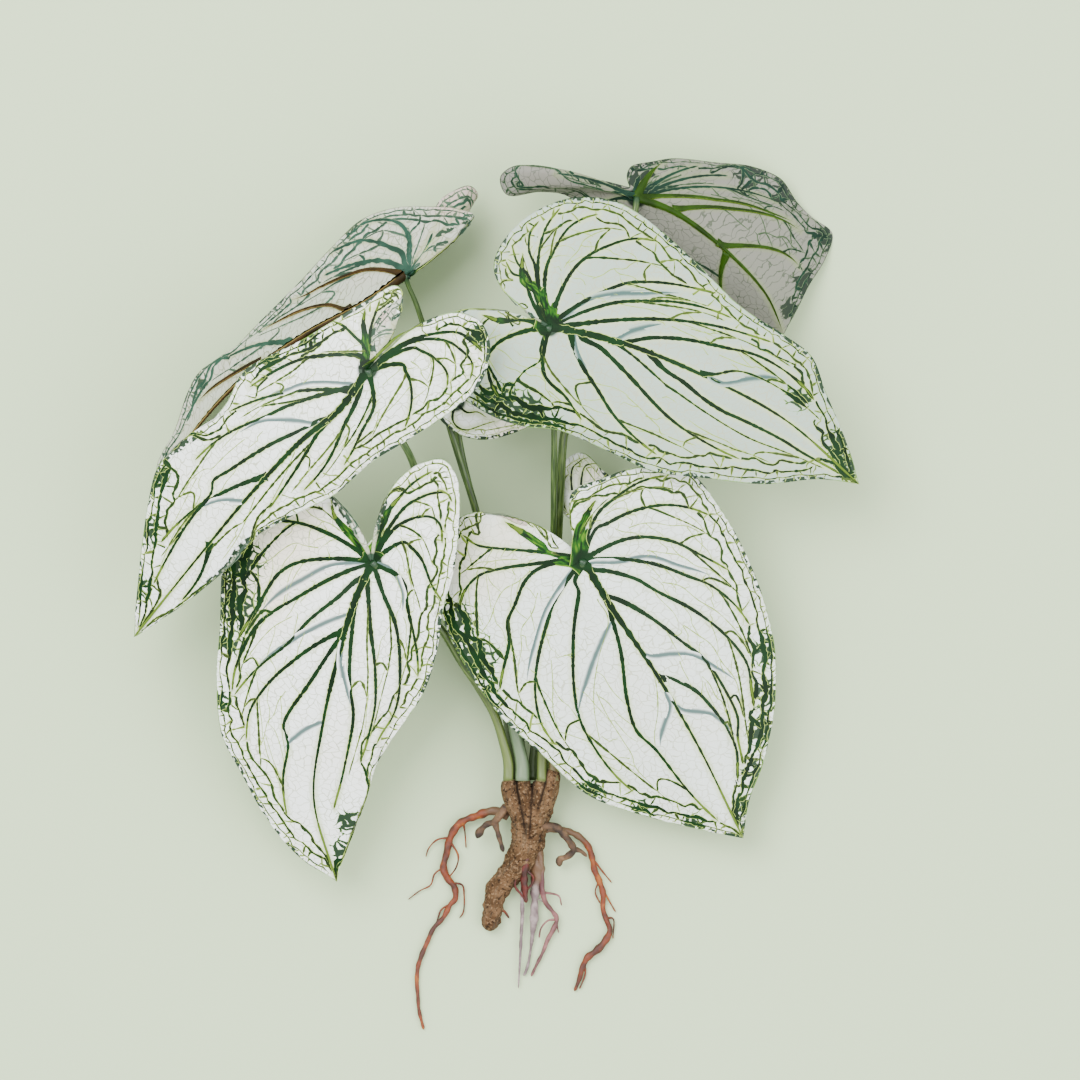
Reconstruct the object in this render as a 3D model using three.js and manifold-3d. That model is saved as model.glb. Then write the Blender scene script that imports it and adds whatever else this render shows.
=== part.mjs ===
import * as THREE from 'three';
import Module from 'manifold-3d';

// A caladium lifted out of the soil and laid on its back: eight blades on eight stalks,
// one corm and its roots. Millimetres, +Z up, the surface under the plant is z = 0.

const BLADE_THICKNESS = 0.9;
const RIB_HEIGHT = 1.1;
const RIB_HALF_WIDTH = 1.4;
const MIDRIB_HEIGHT = 1.8;
// a rib is a shallow groove on the upper face, this share of its height below
const GROOVE_SHARE = 0.3;
// the skin between two ribs swells this far towards the upper face
const SWELL = 0.7;
// places along a rib, from the midrib to the edge, where the blade is given points
const RIB_STEPS = [0, 0.045, 0.28, 0.54, 0.8, 1];
// clear space between pieces that bear on one another
const SEAT_GAP = 0.35;
const STALK_SIDES = 8;
const CORM_SIDES = 24;
// the bundle of sheaths flutes the head of the corm
const CORM_FLUTES = 9;
const CORM_FLUTE_DEPTH = 0.5;
// the middle of the plant's box, seen from above
const MIDDLE_X = 0.5;
const MIDDLE_Y = -1.18;
const JOIN_TOLERANCE = 0.0005;

// Each blade: points are [x, y, height]; the midrib runs from the stalk to the tip, and both
// edges run from the notch to the tip. Fan ribs leave the stalk for a place on the edge, counted
// in edge points; pairs leave the midrib: [place on the midrib, on the left edge, on the right].
const BLADES = {
  lower_right: {
    underside: -1,
    sweep: 0.26,
    arch: 0.05,
    fanLeft: [4.3, 6.2, 8, 8.9, 9.8, 10.8],
    fanRight: [2.6, 4.5, 6.8, 8.8, 10.3],
    pairs: [[0.25, 11.9, 11.5], [1.05, 13, 12.7], [2, 13.9, 13.3], [3, 14.6, 13.7]],
    midrib: [
      [43.5, 17, 62], [58, -7, 60], [79.5, -39, 52], [102, -77.5, 40], [124.5, -123.5, 25],
    ],
    left: [
      [37.5, 24, 61], [38.5, 31, 64], [36.5, 43.5, 68], [38, 50.5, 71], [43.5, 54.5, 72],
      [53, 57.5, 70], [65.5, 62, 65], [79.5, 64, 60], [97, 61, 54], [116, 37, 48], [131, 7, 42],
      [139.5, -23.5, 37], [140.5, -53.5, 33], [135, -84, 30], [127.5, -104, 27],
      [124.5, -123.5, 25],
    ],
    right: [
      [37.5, 24, 61], [26, 26.5, 62], [12, 34, 62], [-3, 40.5, 60], [-17, 39, 57],
      [-26.5, 24.5, 55], [-30, 4.5, 53], [-26.5, -14, 52], [-16.5, -34.5, 50], [0.5, -59.5, 46],
      [22, -80, 40], [47, -102, 32], [77.5, -113, 26], [102.5, -119, 24], [124.5, -123.5, 25],
    ],
  },
  lower_left: {
    underside: -1,
    sweep: 0.24,
    arch: 0.05,
    fanLeft: [4.9, 6.6, 7.6, 8.8, 10.3, 12],
    fanRight: [3, 4.5, 6.6, 8, 9.2],
    pairs: [[0.3, 13, 9.9], [1.4, 14, 10.8], [2.1, 14.4, 12.2], [3.3, 14.75, 13.3]],
    midrib: [
      [-61.5, 16, 78], [-70.5, -4, 76], [-78.5, -30.5, 70], [-87, -67, 58], [-91.5, -103.5, 44],
      [-80.5, -145, 30],
    ],
    left: [
      [-64, 25.5, 79], [-58.5, 31, 83], [-56, 43, 86], [-49.5, 56, 87], [-37.5, 65, 87],
      [-25.5, 67, 85], [-19, 57, 83], [-18, 37, 80], [-20.5, 14.5, 76], [-26.5, -9, 70],
      [-30, -30.5, 65], [-37, -51, 59], [-53, -74, 51], [-64.5, -94.5, 45], [-72.5, -118, 38],
      [-80.5, -145, 30],
    ],
    right: [
      [-64, 25.5, 79], [-69.5, 29.5, 82], [-76.5, 41, 84], [-85, 52, 84], [-100, 58, 81],
      [-116.5, 53, 76], [-129.5, 36, 70], [-136.5, 14.5, 64], [-138, -10.5, 59],
      [-140, -45.5, 53], [-137.5, -71, 47], [-127, -92.5, 42], [-115, -114, 37],
      [-97.5, -134, 32], [-80.5, -145, 30],
    ],
  },
  middle_left: {
    underside: -1,
    sweep: 0.24,
    arch: 0.04,
    fanLeft: [6, 7, 7.9, 9, 10.6],
    fanRight: [4.5, 6, 7.2, 10.3],
    pairs: [[0.55, 11.7, 12.6], [1.3, 12.6, 14], [2.6, 13.8, 15.3], [3.8, 15, 16.3]],
    midrib: [
      [-63, 111, 112], [-76.5, 92, 111], [-96.5, 75.5, 107], [-121.5, 49.5, 98],
      [-147, 19.5, 84], [-181, -21.5, 60],
    ],
    left: [
      [-58, 117.5, 113], [-53, 121, 113], [-45, 128.5, 113], [-32.5, 136, 112],
      [-18.5, 139.5, 110], [-7, 134.5, 108], [-2.5, 122, 106], [-7.5, 104.5, 104],
      [-21.5, 91, 102], [-43.5, 76.5, 101], [-63, 64.5, 100], [-78.5, 50, 98], [-99, 40, 95],
      [-122, 27, 91], [-139.5, 8.5, 84], [-161.5, -9, 72], [-181, -21.5, 60],
    ],
    right: [
      [-58, 117.5, 113], [-61, 123, 113], [-60.5, 132, 112], [-54.5, 141, 110], [-46, 148, 107],
      [-49, 153, 105], [-66, 144, 105], [-80, 135.5, 104], [-95, 126.5, 102], [-110.5, 119, 99],
      [-125, 110, 96], [-133.5, 95, 93], [-149, 78.5, 88], [-167, 65, 82], [-173, 46, 78],
      [-176.5, 24.5, 73], [-179, 2, 67], [-181, -21.5, 60],
    ],
  },
  upper_right: {
    underside: -1,
    sweep: 0.24,
    arch: 0.05,
    fanLeft: [3, 4.4, 5.8, 6.9, 8.1, 9.6, 10.5],
    fanRight: [3.3, 5.5, 8.2, 10.8],
    pairs: [[0.3, 11.5, 12.4], [1.2, 12.9, 13.4], [2.1, 13.6, 15], [3.2, 14.3, 15.5]],
    midrib: [
      [26.5, 133, 88], [47, 129, 88], [71.5, 122, 85], [104, 108.5, 78], [144.5, 87, 65],
      [182, 55, 49],
    ],
    left: [
      [18, 137, 88], [12, 143.5, 90], [3.5, 151, 90], [-1, 162, 89], [3, 174.5, 87],
      [17, 188.5, 85], [37, 197, 83], [59.5, 195.5, 81], [79, 183.5, 79], [100, 165, 76],
      [121.5, 144, 72], [143.5, 129.5, 67], [158, 118.5, 63], [165, 101, 59], [174.5, 78.5, 54],
      [182, 55, 49],
    ],
    right: [
      [18, 137, 88], [6, 137.5, 87], [-9, 141, 85], [-21.5, 140, 83], [-28.5, 130.5, 81],
      [-28.5, 116.5, 80], [-24, 102.5, 78], [-12, 94.5, 77], [1, 87.5, 76], [15, 83.5, 75],
      [32, 81.5, 76], [54.5, 71.5, 75], [77, 61.5, 72], [104.5, 58, 67], [134.5, 55, 60],
      [162, 57.5, 54], [182, 55, 49],
    ],
  },
  upper_left: {
    underside: 1,
    sweep: 0.2,
    arch: 0.04,
    fanLeft: [3.4, 5, 7, 8.3],
    fanRight: [3.5, 5.4, 6.5, 8.1, 9.3, 10.2],
    pairs: [[0.15, 9.2, 11], [1.3, 10.2, 11.8], [2.2, 11.3, 13], [3.1, 12.4, 14.1], [4, 13.3, 15.5]],
    midrib: [
      [-45.5, 160, 50], [-66, 145.5, 53], [-96, 130, 48], [-129, 107, 37], [-152, 82.5, 25],
      [-171.5, 53.5, 12],
    ],
    left: [
      [-41.5, 165.5, 50], [-37.5, 174.5, 40], [-34.5, 185.5, 30], [-28.5, 198, 25],
      [-21, 203, 22], [-13.5, 205.5, 20], [-9.5, 201, 16], [-15.5, 195.5, 12], [-34, 186.5, 4],
      [-56.5, 174, -0.5], [-82, 154, -0.5], [-107.5, 133.5, -0.5], [-133, 114.5, -0.3],
      [-153, 95.5, 1.5], [-165.5, 75, 5], [-171.5, 53.5, 12],
    ],
    right: [
      [-41.5, 165.5, 50], [-36, 172.5, 47], [-30.5, 179.5, 44], [-20, 184, 40], [-11, 190, 36],
      [-21, 194, 33], [-31.5, 195, 30], [-51, 194.5, 27], [-68, 188.5, 25], [-84, 173.5, 24],
      [-100, 157, 22], [-118.5, 138, 19], [-134.5, 122.5, 16], [-150, 112, 13],
      [-156.5, 100.5, 11], [-163, 81.5, 9], [-172, 65, 9], [-171.5, 53.5, 12],
    ],
  },
  top_right: {
    underside: 1,
    sweep: 0.2,
    arch: 0.05,
    fanLeft: [2.5, 3.7, 5.5, 7.2, 8.7],
    fanRight: [4.5, 7, 8.6, 9.7],
    pairs: [[1, 9.4, 11], [2, 11.2, 12], [3, 12.6, 13]],
    midrib: [
      [70.5, 198.5, 46], [88.5, 192, 45], [113.5, 174, 40], [135.5, 151, 32], [145, 131, 24],
    ],
    left: [
      [67, 204, 46], [65.5, 209.5, 44], [67.5, 214.5, 41], [77.5, 217, 36], [90, 219, 31],
      [110.5, 217.5, 24], [129, 215.5, 17], [143.5, 210, 10], [152.5, 198, 5], [161, 189.5, 1.5],
      [170, 182.5, -0.5], [167, 170, 4], [157.5, 155, 11], [150.5, 141, 18], [145, 131, 24],
    ],
    right: [
      [67, 204, 46], [55, 207, 46], [39.5, 209.5, 46], [24.5, 212, 44], [9.5, 215, 41],
      [2, 209.5, 39], [5, 201, 37], [22, 202.5, 34], [36, 200.5, 30], [48, 189.5, 29],
      [63.5, 172, 28], [82.5, 154, 25], [105.5, 142, 22], [127, 135, 21], [145, 131, 24],
    ],
  },
  small_centre: {
    underside: -1,
    sweep: 0.15,
    arch: 0.04,
    fanLeft: [2, 3.2],
    fanRight: [2, 3.3, 4.3],
    pairs: [[0.8, 4.4, 5.3], [1.8, 5.2, 6.6]],
    midrib: [
      [-20.5, 96.5, 44], [-3, 98.5, 45], [17, 101, 45], [33, 101.5, 43],
    ],
    left: [
      [-26, 97.5, 45], [-29.5, 105, 46], [-27.5, 116.5, 47], [-15.5, 125, 47], [2, 125, 47],
      [19.5, 117.5, 46], [33, 101.5, 43],
    ],
    right: [
      [-26, 97.5, 45], [-29.5, 93.5, 44], [-28.5, 88, 43], [-19.5, 80.5, 41], [-10.5, 77.5, 40],
      [-0.5, 78, 40], [15.5, 83.5, 42], [26, 90, 43], [33, 101.5, 43],
    ],
  },
  small_right: {
    underside: -1,
    sweep: 0.15,
    arch: 0.04,
    fanLeft: [3, 4.3, 5.6, 7],
    fanRight: [2, 3],
    pairs: [[0.8, 8, 4], [1.8, 9, 5]],
    midrib: [
      [47, 32, 33], [63.5, 21, 34], [85, 2, 31], [110.5, -23.5, 24],
    ],
    left: [
      [42, 30, 32], [37.5, 36.5, 30], [30, 44.5, 29], [28.5, 55, 29], [35, 67.5, 30],
      [43.5, 71, 31], [55.5, 60.5, 33], [75, 46, 34], [95, 24.5, 32], [106, 1, 28],
      [110.5, -23.5, 24],
    ],
    right: [
      [42, 30, 32], [40, 23.5, 32], [42.5, 9.5, 31], [50, -8.5, 29], [66.5, -25, 27],
      [88.5, -31, 25], [110.5, -23.5, 24],
    ],
  },
};

// Each stalk from blade to corm: [x, y, height, radius].
const STALKS = {
  lower_right: [
    [43.5, 17, 63, 1.9], [42, 7, 54, 2], [38.5, -13, 44, 2.1], [32.5, -36, 36, 2.3],
    [26, -56, 31, 2.5], [23.5, -74, 25.5, 2.6], [23, -86, 22, 2.7], [23, -94.5, 22, 2.7],
  ],
  lower_left: [
    [-61.5, 16, 79, 1.7], [-52, 5.5, 66, 1.8], [-38, -7, 55, 1.9], [-27.5, -18, 46.5, 2],
    [-18, -33.5, 41, 2.1], [-8.5, -47.5, 33.5, 2.2], [-1, -61, 28, 2.3], [3.5, -75, 24, 2.4],
    [6, -86, 21.5, 2.6], [6, -94.5, 21.5, 2.6],
  ],
  middle_left: [
    [-63, 111, 113, 1.7], [-58.5, 98, 100, 1.8], [-51.5, 84, 91, 1.8], [-43, 69.5, 79, 1.9],
    [-36, 49.5, 64, 2], [-28, 29.5, 50.5, 2.1], [-17, 4.5, 44, 2.2], [-5.5, -23.5, 36, 2.4],
    [2, -46, 30, 2.6], [7.5, -61, 26.5, 2.9], [10.5, -74, 24, 3.2], [13, -86, 22, 3.6],
    [13, -94.5, 22, 3.7],
  ],
  upper_right: [
    [26.5, 133, 89, 1.6], [26, 124, 78, 1.6], [27.5, 102, 66, 1.6], [29, 81.5, 56, 1.5],
    [29, 57, 46, 1.6], [28.5, 25.5, 37, 1.7], [25.5, -8.5, 29, 1.9], [22.5, -43.5, 20, 2.1],
    [20, -71.5, 14.5, 2.3], [18.5, -86, 12, 2.4], [18.5, -94.5, 12, 2.4],
  ],
  upper_left: [
    [-45.5, 160, 51, 1.3], [-44, 154.5, 48.5, 1.3], [-41.5, 149, 47.5, 1.3],
    [-37, 136, 45.5, 1.4], [-30.5, 110, 40, 1.6], [-23.5, 84.5, 34, 1.8], [-17.5, 65, 30, 1.9],
    [-10, 40.5, 26, 2], [-4.5, 12, 22, 2.1], [0.5, -23.5, 18, 2.1], [4, -54, 15, 2.2],
    [7, -76.5, 12.5, 2.2], [8.5, -87, 12, 2.3], [8.5, -94.5, 12, 2.3],
  ],
  top_right: [
    [70.5, 198.5, 47, 1.6], [70, 193.5, 49.5, 1.6], [66, 177.5, 51, 1.6], [58, 152.5, 50, 1.7],
    [49.5, 125, 48.5, 1.8], [41, 100, 46, 2], [34.5, 81.5, 43, 2.2], [32.5, 57, 38, 2.2],
    [31, 25.5, 30.5, 2.2], [30.5, -8.5, 28, 2.3], [30, -43.5, 25, 2.4], [29.5, -71.5, 23, 2.5],
    [29, -85, 22, 2.6], [29, -94.5, 22, 2.6],
  ],
  small_centre: [
    [-20.5, 96.5, 45, 1.4], [-20, 91.5, 36, 1.4], [-19.5, 83.5, 28, 1.5], [-18, 74, 24, 1.5],
    [-14.5, 58, 21, 1.6], [-10, 40.5, 19, 1.7], [-3.5, 12, 15.5, 1.7], [3, -23.5, 13, 1.8],
    [9, -54, 12, 1.8], [12.5, -77, 11.5, 1.9], [14, -87, 11.5, 1.9], [14, -94.5, 11.5, 1.9],
  ],
  small_right: [
    [47, 32, 34, 1.6], [46, 24.5, 28, 1.6], [43, 12, 24.5, 1.7], [38, -8.5, 21, 1.8],
    [33, -33.5, 17, 2], [28, -64, 13, 2.1], [25, -86, 11.5, 2.2], [25, -94.5, 11.5, 2.2],
  ],
};

// The corm and its creeping end: [x, y, height, half width, half depth].
const CORM = [
  [17.5, -94.85, 16.5, 14.8, 10], [17.5, -99.5, 16.5, 14.6, 10.3], [17.5, -105.5, 14.5, 13.2, 10.4],
  [17, -112, 12.4, 10.4, 10.2], [16.5, -120, 9.8, 8.6, 9.5], [16, -127.5, 8.7, 8.4, 9.2],
  [14.5, -134, 8.2, 7.8, 8.7], [10.5, -140, 7.3, 6, 7.2], [5, -146, 6.2, 4.6, 5.8],
  [-0.5, -152.5, 5.4, 3.8, 4.8], [-2.5, -159.5, 5, 3.9, 4.5], [-3.5, -165.5, 4.8, 4.4, 4.4],
  [-3.5, -169.5, 4.6, 3.4, 3.4], [-3.5, -171.5, 4.5, 1.8, 1.8],
];

// Each root: its main strand and then its side strands, [x, y, height, radius].
const ROOTS = {
  root_orange_left: [
    [
      [6, -113, 10, 2.4], [1, -110.5, 9, 2.3], [-3.5, -110.5, 7.5, 2.2], [-10.5, -113, 6, 2],
      [-16, -115, 5, 1.9], [-20, -118, 4, 1.9], [-23.5, -124, 3.4, 1.9], [-25.5, -132.5, 3, 1.8],
      [-27, -139, 2.8, 1.8], [-25, -144.5, 2.7, 1.7], [-21.5, -149, 2.6, 1.6],
      [-21, -155, 2.5, 1.5], [-23.5, -158, 2.4, 1.5], [-27, -164.5, 2.3, 1.4],
      [-32, -170, 2.2, 1.3], [-35, -176.5, 2, 1.3], [-38, -183.5, 1.9, 1.2], [-40, -190, 1.8, 1.1],
      [-40.5, -197.5, 1.7, 1.1], [-40, -204, 1.6, 1], [-39.5, -211, 1.5, 0.9],
      [-37, -221.5, 1.3, 0.7],
    ],
    [
      [-23.5, -124, 3.4, 0.9], [-30, -125, 2.8, 0.8], [-34.5, -129.5, 2, 0.6],
      [-36, -134, 1.4, 0.5],
    ],
    [
      [-17, -115.5, 5, 0.9], [-16, -122, 3, 0.7], [-15.5, -129.5, 1.6, 0.5],
    ],
    [
      [-23.5, -126, 3.6, 1], [-19.5, -133, 4, 0.8], [-20.5, -139, 3.2, 0.7],
      [-24.5, -144.5, 2.7, 0.7],
    ],
    [
      [-27, -139, 2.8, 0.9], [-31.5, -142.5, 2.2, 0.8], [-33.5, -148, 1.8, 0.7],
      [-39, -151, 1.5, 0.6], [-45, -155.5, 1.2, 0.4],
    ],
    [
      [-22.5, -147, 2.7, 0.9], [-17.5, -148, 2.2, 0.8], [-16.5, -153.5, 1.8, 0.7],
      [-17, -162, 1.4, 0.6], [-19, -165, 1.2, 0.5],
    ],
    [
      [-23, -157.5, 2.4, 0.9], [-28, -160.5, 1.8, 0.7], [-30, -165.5, 1.4, 0.6],
      [-31, -169, 2.1, 0.6],
    ],
  ],
  root_brown_left: [
    [
      [5, -107.5, 16, 1.5], [1.5, -112.5, 15, 1.4], [-1, -115.5, 13.5, 1.3], [-5, -117, 12, 1.2],
      [-8, -120, 10.5, 1.3], [-10, -124, 9.5, 2],
    ],
    [
      [-1, -115.5, 13.5, 1.1], [1.5, -124, 13, 0.9], [3.5, -131, 12, 0.7],
    ],
  ],
  root_orange_right: [
    [
      [22.5, -119.5, 10, 2], [30.5, -119.5, 8.5, 1.8], [36, -120.5, 7, 1.7],
      [42, -123.5, 5.5, 1.6], [46.5, -128.5, 4.4, 1.6], [48.5, -134.5, 3.6, 1.5],
      [49.5, -140, 3, 1.5], [52.5, -147, 2.6, 1.5], [54, -152.5, 2.5, 1.4], [54, -160.5, 2.3, 1.4],
      [56, -166.5, 2.2, 1.4], [57.5, -171, 2.2, 1.5], [55, -176.5, 2.3, 1.7], [51, -181, 2.4, 1.9],
      [46, -185, 2.3, 1.9], [43.5, -190, 2.1, 1.5], [42, -195.5, 1.8, 1.1], [39.5, -202, 1.4, 0.7],
    ],
    [
      [49.5, -135.5, 3.4, 0.9], [54, -141.5, 2.4, 0.7], [58.5, -147, 1.4, 0.5],
    ],
    [
      [52, -146, 2.6, 0.9], [50, -151.5, 1.8, 0.6], [52.5, -157.5, 1.8, 0.6],
    ],
    [
      [53.5, -149, 2.5, 0.9], [56.5, -155, 1.8, 0.7], [60.5, -162, 1.3, 0.5],
    ],
    [
      [55.5, -165, 2.2, 0.9], [59, -165, 1.8, 0.7], [59, -175.5, 1.3, 0.5],
    ],
    [
      [44.5, -187, 2.2, 1], [45, -193, 1.6, 0.7], [42, -201, 1.6, 0.7],
    ],
  ],
  root_brown_right: [
    [
      [22.5, -117, 16, 1.6], [30.5, -118.5, 14.5, 1.4], [34, -122, 13, 1.3],
      [37.5, -126.5, 11, 1.2], [39, -130, 9.5, 1.2], [35.5, -133.5, 8, 1.2], [32, -135, 7, 1.4],
      [32, -138.5, 6.5, 2.1],
    ],
    [
      [38.5, -129.5, 9.5, 0.9], [42.5, -130.5, 8.5, 0.8], [46, -133.5, 7.5, 0.6],
    ],
  ],
  root_red: [
    [
      [17, -131.5, 14, 2.2], [14.5, -137.5, 13, 1.9], [14, -145.5, 10, 1.7], [14.5, -152, 8, 1.5],
      [15, -157, 7, 1],
    ],
    [
      [14, -138, 13, 1], [10, -143.5, 11.5, 0.9], [9.5, -148.5, 10.5, 0.9], [12, -152, 9.2, 0.9],
      [15, -156, 7.5, 0.8],
    ],
    [
      [15, -140, 12, 1], [18.5, -143.5, 11, 0.9], [18, -147, 9.8, 0.9], [15, -150.5, 8.5, 0.9],
    ],
  ],
  root_white_left: [
    [
      [14, -139, 6, 1.6], [13.5, -148, 5, 1.4], [13, -156.5, 4.3, 1.1], [13, -164, 4, 1],
      [12.5, -172, 3.6, 0.9], [12, -183.5, 3, 0.7], [11, -200.5, 2, 0.35],
    ],
  ],
  root_white_right: [
    [
      [19.5, -137, 6, 1.4], [19.3, -144.5, 5, 1.2], [19, -150.5, 4.3, 1.1], [19, -157, 4, 1],
      [18, -162.5, 3.8, 1], [19, -172, 4, 0.9], [19, -180, 4.4, 0.7], [18, -192, 4.6, 0.35],
    ],
  ],
  root_pink: [
    [
      [22.5, -134, 11, 1.6], [23.2, -142.5, 8.5, 1.3], [23.2, -150.5, 7, 1.3],
      [25, -157, 5.5, 1.3], [28.5, -161.5, 4.3, 1.2], [30.5, -165, 3.6, 1.2], [29, -170, 3, 1.2],
      [26, -175.5, 2.6, 1.1], [23.5, -182, 2.2, 1], [20.5, -188, 1.9, 0.9],
      [17.5, -194.5, 1.5, 0.6],
    ],
    [
      [30, -165.5, 3.6, 0.9], [26, -166, 4.6, 0.8], [22.5, -170, 4, 0.8], [21.5, -175, 3, 0.6],
    ],
    [
      [30, -165.5, 3.5, 0.9], [31.5, -172.5, 2, 0.5],
    ],
    [
      [22.5, -151.5, 7, 1], [26.5, -152, 6, 0.9], [31.5, -153.5, 5, 0.8], [33, -158.5, 4, 0.6],
    ],
  ],
  root_hook: [
    [
      [0, -160, 5, 0.9], [3.5, -161, 4, 0.8], [6.5, -165, 3, 0.5],
    ],
  ],
};

const wasm = await Module();
wasm.setup();

function curveThrough(points) {
  return new THREE.CatmullRomCurve3(points.map((p) => new THREE.Vector3(p[0], p[1], p[2])));
}

// the point of a curve at a place counted in its own points
function at(curve, place) {
  const last = curve.points.length - 1;
  return curve.getPoint(Math.min(Math.max(place / last, 0), 1));
}

// the square-on direction of the skin between the midrib and one edge
function facing(midrib, edge, side) {
  const loop = [];
  const steps = 24;
  for (let i = 0; i <= steps; i += 1) loop.push(midrib.getPoint(i / steps));
  for (let i = steps - 1; i >= 0; i -= 1) loop.push(edge.getPoint(i / steps));
  const sum = new THREE.Vector3();
  for (let i = 0; i < loop.length; i += 1) {
    const a = loop[i];
    const b = loop[(i + 1) % loop.length];
    sum.add(new THREE.Vector3().crossVectors(a, b));
  }
  return sum.multiplyScalar(side).normalize();
}

// a line over the skin from the midrib to the edge, sweeping towards the tip
function skinPoint(half, start, end, share) {
  const from = at(half.midrib, start);
  const to = at(half.edge, end);
  const chord = to.clone().sub(from);
  const spread = Math.min(end / half.sweepFrom, 1);
  const aside = half.face.clone().cross(chord).multiplyScalar(half.side * half.sweep * spread);
  const bend = from.clone().add(to).multiplyScalar(0.5).add(aside);
  bend.addScaledVector(half.face, half.arch * spread * chord.length());
  const rest = 1 - share;
  return from.multiplyScalar(rest * rest).addScaledVector(bend, 2 * rest * share)
    .addScaledVector(to, share * share);
}

// the lines of one half in order: ribs, a flank on each side of a rib, and plain lines between
function halfLines(keys, gaps) {
  const lines = [];
  keys.forEach((key, i) => {
    const before = keys[i - 1];
    const after = keys[i + 1];
    if (key.rib && before) lines.push({ key, towards: before, most: 0.75 / (gaps[i - 1] + 1) });
    lines.push({ key, rib: key.rib });
    if (key.rib && after) lines.push({ key, towards: after, most: 0.75 / (gaps[i] + 1) });
    if (after) {
      for (let g = 1; g <= gaps[i]; g += 1) {
        lines.push({ key, towards: after, share: g / (gaps[i] + 1) });
      }
    }
  });
  return lines;
}

function linePoint(half, line, share) {
  const { key, towards } = line;
  if (!towards) return skinPoint(half, key.start, key.end, share);
  let part = line.share;
  if (part === undefined) {
    const here = skinPoint(half, key.start, key.end, share);
    const there = skinPoint(half, towards.start, towards.end, share);
    const apart = Math.max(here.distanceTo(there), 0.01);
    part = Math.min(Math.max(RIB_HALF_WIDTH / apart, 0.05), line.most);
  }
  const start = key.start + (towards.start - key.start) * part;
  const end = key.end + (towards.end - key.end) * part;
  return skinPoint(half, start, end, share);
}

// the skin of a blade: shared points, each with its rise as a rib, and its triangles
function bladeSkin(blade) {
  const points = [];
  const rises = [];
  const triangles = [];
  const midrib = curveThrough(blade.midrib);
  const tip = blade.midrib.length - 1;
  const place = (point, rise) => {
    let found = points.findIndex((p) => p.distanceToSquared(point) < JOIN_TOLERANCE);
    if (found < 0) {
      found = points.length;
      points.push(point);
      rises.push(0);
    }
    rises[found] = Math.max(rises[found], rise);
    return found;
  };
  const sides = [[1, blade.left, blade.fanLeft, 1], [-1, blade.right, blade.fanRight, 2]];
  const pairGaps = blade.pairs.map((pair, i) => {
    const next = blade.pairs[i + 1] || [tip, blade.left.length - 1, blade.right.length - 1];
    return Math.max(1, Math.ceil(Math.max(next[1] - pair[1], next[2] - pair[2]) / 0.95) - 1);
  });
  const firstGap = Math.max(1, Math.ceil(Math.max(
    blade.pairs[0][1] - blade.fanLeft[blade.fanLeft.length - 1],
    blade.pairs[0][2] - blade.fanRight[blade.fanRight.length - 1],
  ) / 0.95) - 1);
  sides.forEach(([side, edgePoints, fan, column]) => {
    const edge = curveThrough(edgePoints);
    const half = {
      side,
      midrib,
      edge,
      face: facing(midrib, edge, side),
      sweep: blade.sweep,
      arch: blade.arch,
      sweepFrom: Math.max(fan[0], 4),
    };
    const keys = [{ start: 0, end: 0, rib: false }];
    fan.forEach((end) => keys.push({ start: 0, end, rib: true }));
    blade.pairs.forEach((pair) => keys.push({ start: pair[0], end: pair[column], rib: true }));
    keys.push({ start: tip, end: edgePoints.length - 1, rib: false });
    const gaps = keys.slice(0, -1).map((key, i) => {
      if (i < fan.length) return Math.max(1, Math.ceil((keys[i + 1].end - key.end) / 0.95) - 1);
      return i === fan.length ? firstGap : pairGaps[i - fan.length - 1];
    });
    const grid = halfLines(keys, gaps).map((line) => RIB_STEPS.map((share, row) => {
      const point = linePoint(half, line, share);
      const between = line.towards && line.share !== undefined;
      if (between) point.addScaledVector(half.face, SWELL * Math.sin(Math.PI * share));
      let rise = line.rib ? RIB_HEIGHT * (1 - share) ** 0.8 : 0;
      if (row === 0) {
        const along = line.key.start / tip;
        rise = 0.3 + MIDRIB_HEIGHT * (1 - along) ** 0.7;
      }
      return place(point, rise);
    }));
    for (let i = 0; i + 1 < grid.length; i += 1) {
      for (let j = 0; j + 1 < RIB_STEPS.length; j += 1) {
        const a = grid[i][j];
        const b = grid[i + 1][j];
        const c = grid[i + 1][j + 1];
        const d = grid[i][j + 1];
        [[a, b, c], [a, c, d]].forEach(([p, q, r]) => {
          if (p !== q && q !== r && r !== p) triangles.push(side > 0 ? [p, q, r] : [p, r, q]);
        });
      }
    }
  });
  const hub = points.findIndex((p) => p.distanceToSquared(midrib.points[0]) < JOIN_TOLERANCE);
  const hubFacing = new THREE.Vector3();
  triangles.filter((corners) => corners.includes(hub)).forEach(([a, b, c]) => {
    hubFacing.add(points[b].clone().sub(points[a]).cross(points[c].clone().sub(points[a])));
  });
  return { points, rises, triangles, hubFacing: hubFacing.normalize() };
}

// a closed solid over a skin: one face `over` above each point and one `under` below it
function thicken(skin, over, under) {
  const { points, triangles } = skin;
  const normals = points.map(() => new THREE.Vector3());
  triangles.forEach(([a, b, c]) => {
    const u = points[b].clone().sub(points[a]);
    const v = points[c].clone().sub(points[a]);
    const n = u.cross(v);
    [a, b, c].forEach((i) => normals[i].add(n));
  });
  const count = points.length;
  const corners = [];
  [over, under].forEach((offset) => points.forEach((point, i) => {
    const moved = point.clone().addScaledVector(normals[i].clone().normalize(), offset(i));
    corners.push(moved.x, moved.y, Math.max(moved.z, 0));
  }));
  const faces = [];
  const edges = new Map();
  triangles.forEach(([a, b, c]) => {
    faces.push(a, b, c, a + count, c + count, b + count);
    [[a, b], [b, c], [c, a]].forEach(([p, q]) => {
      if (edges.has(`${q} ${p}`)) edges.delete(`${q} ${p}`);
      else edges.set(`${p} ${q}`, [p, q]);
    });
  });
  edges.forEach(([p, q]) => faces.push(q, p, p + count, q, p + count, q + count));
  return toSolid(corners, faces);
}

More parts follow.
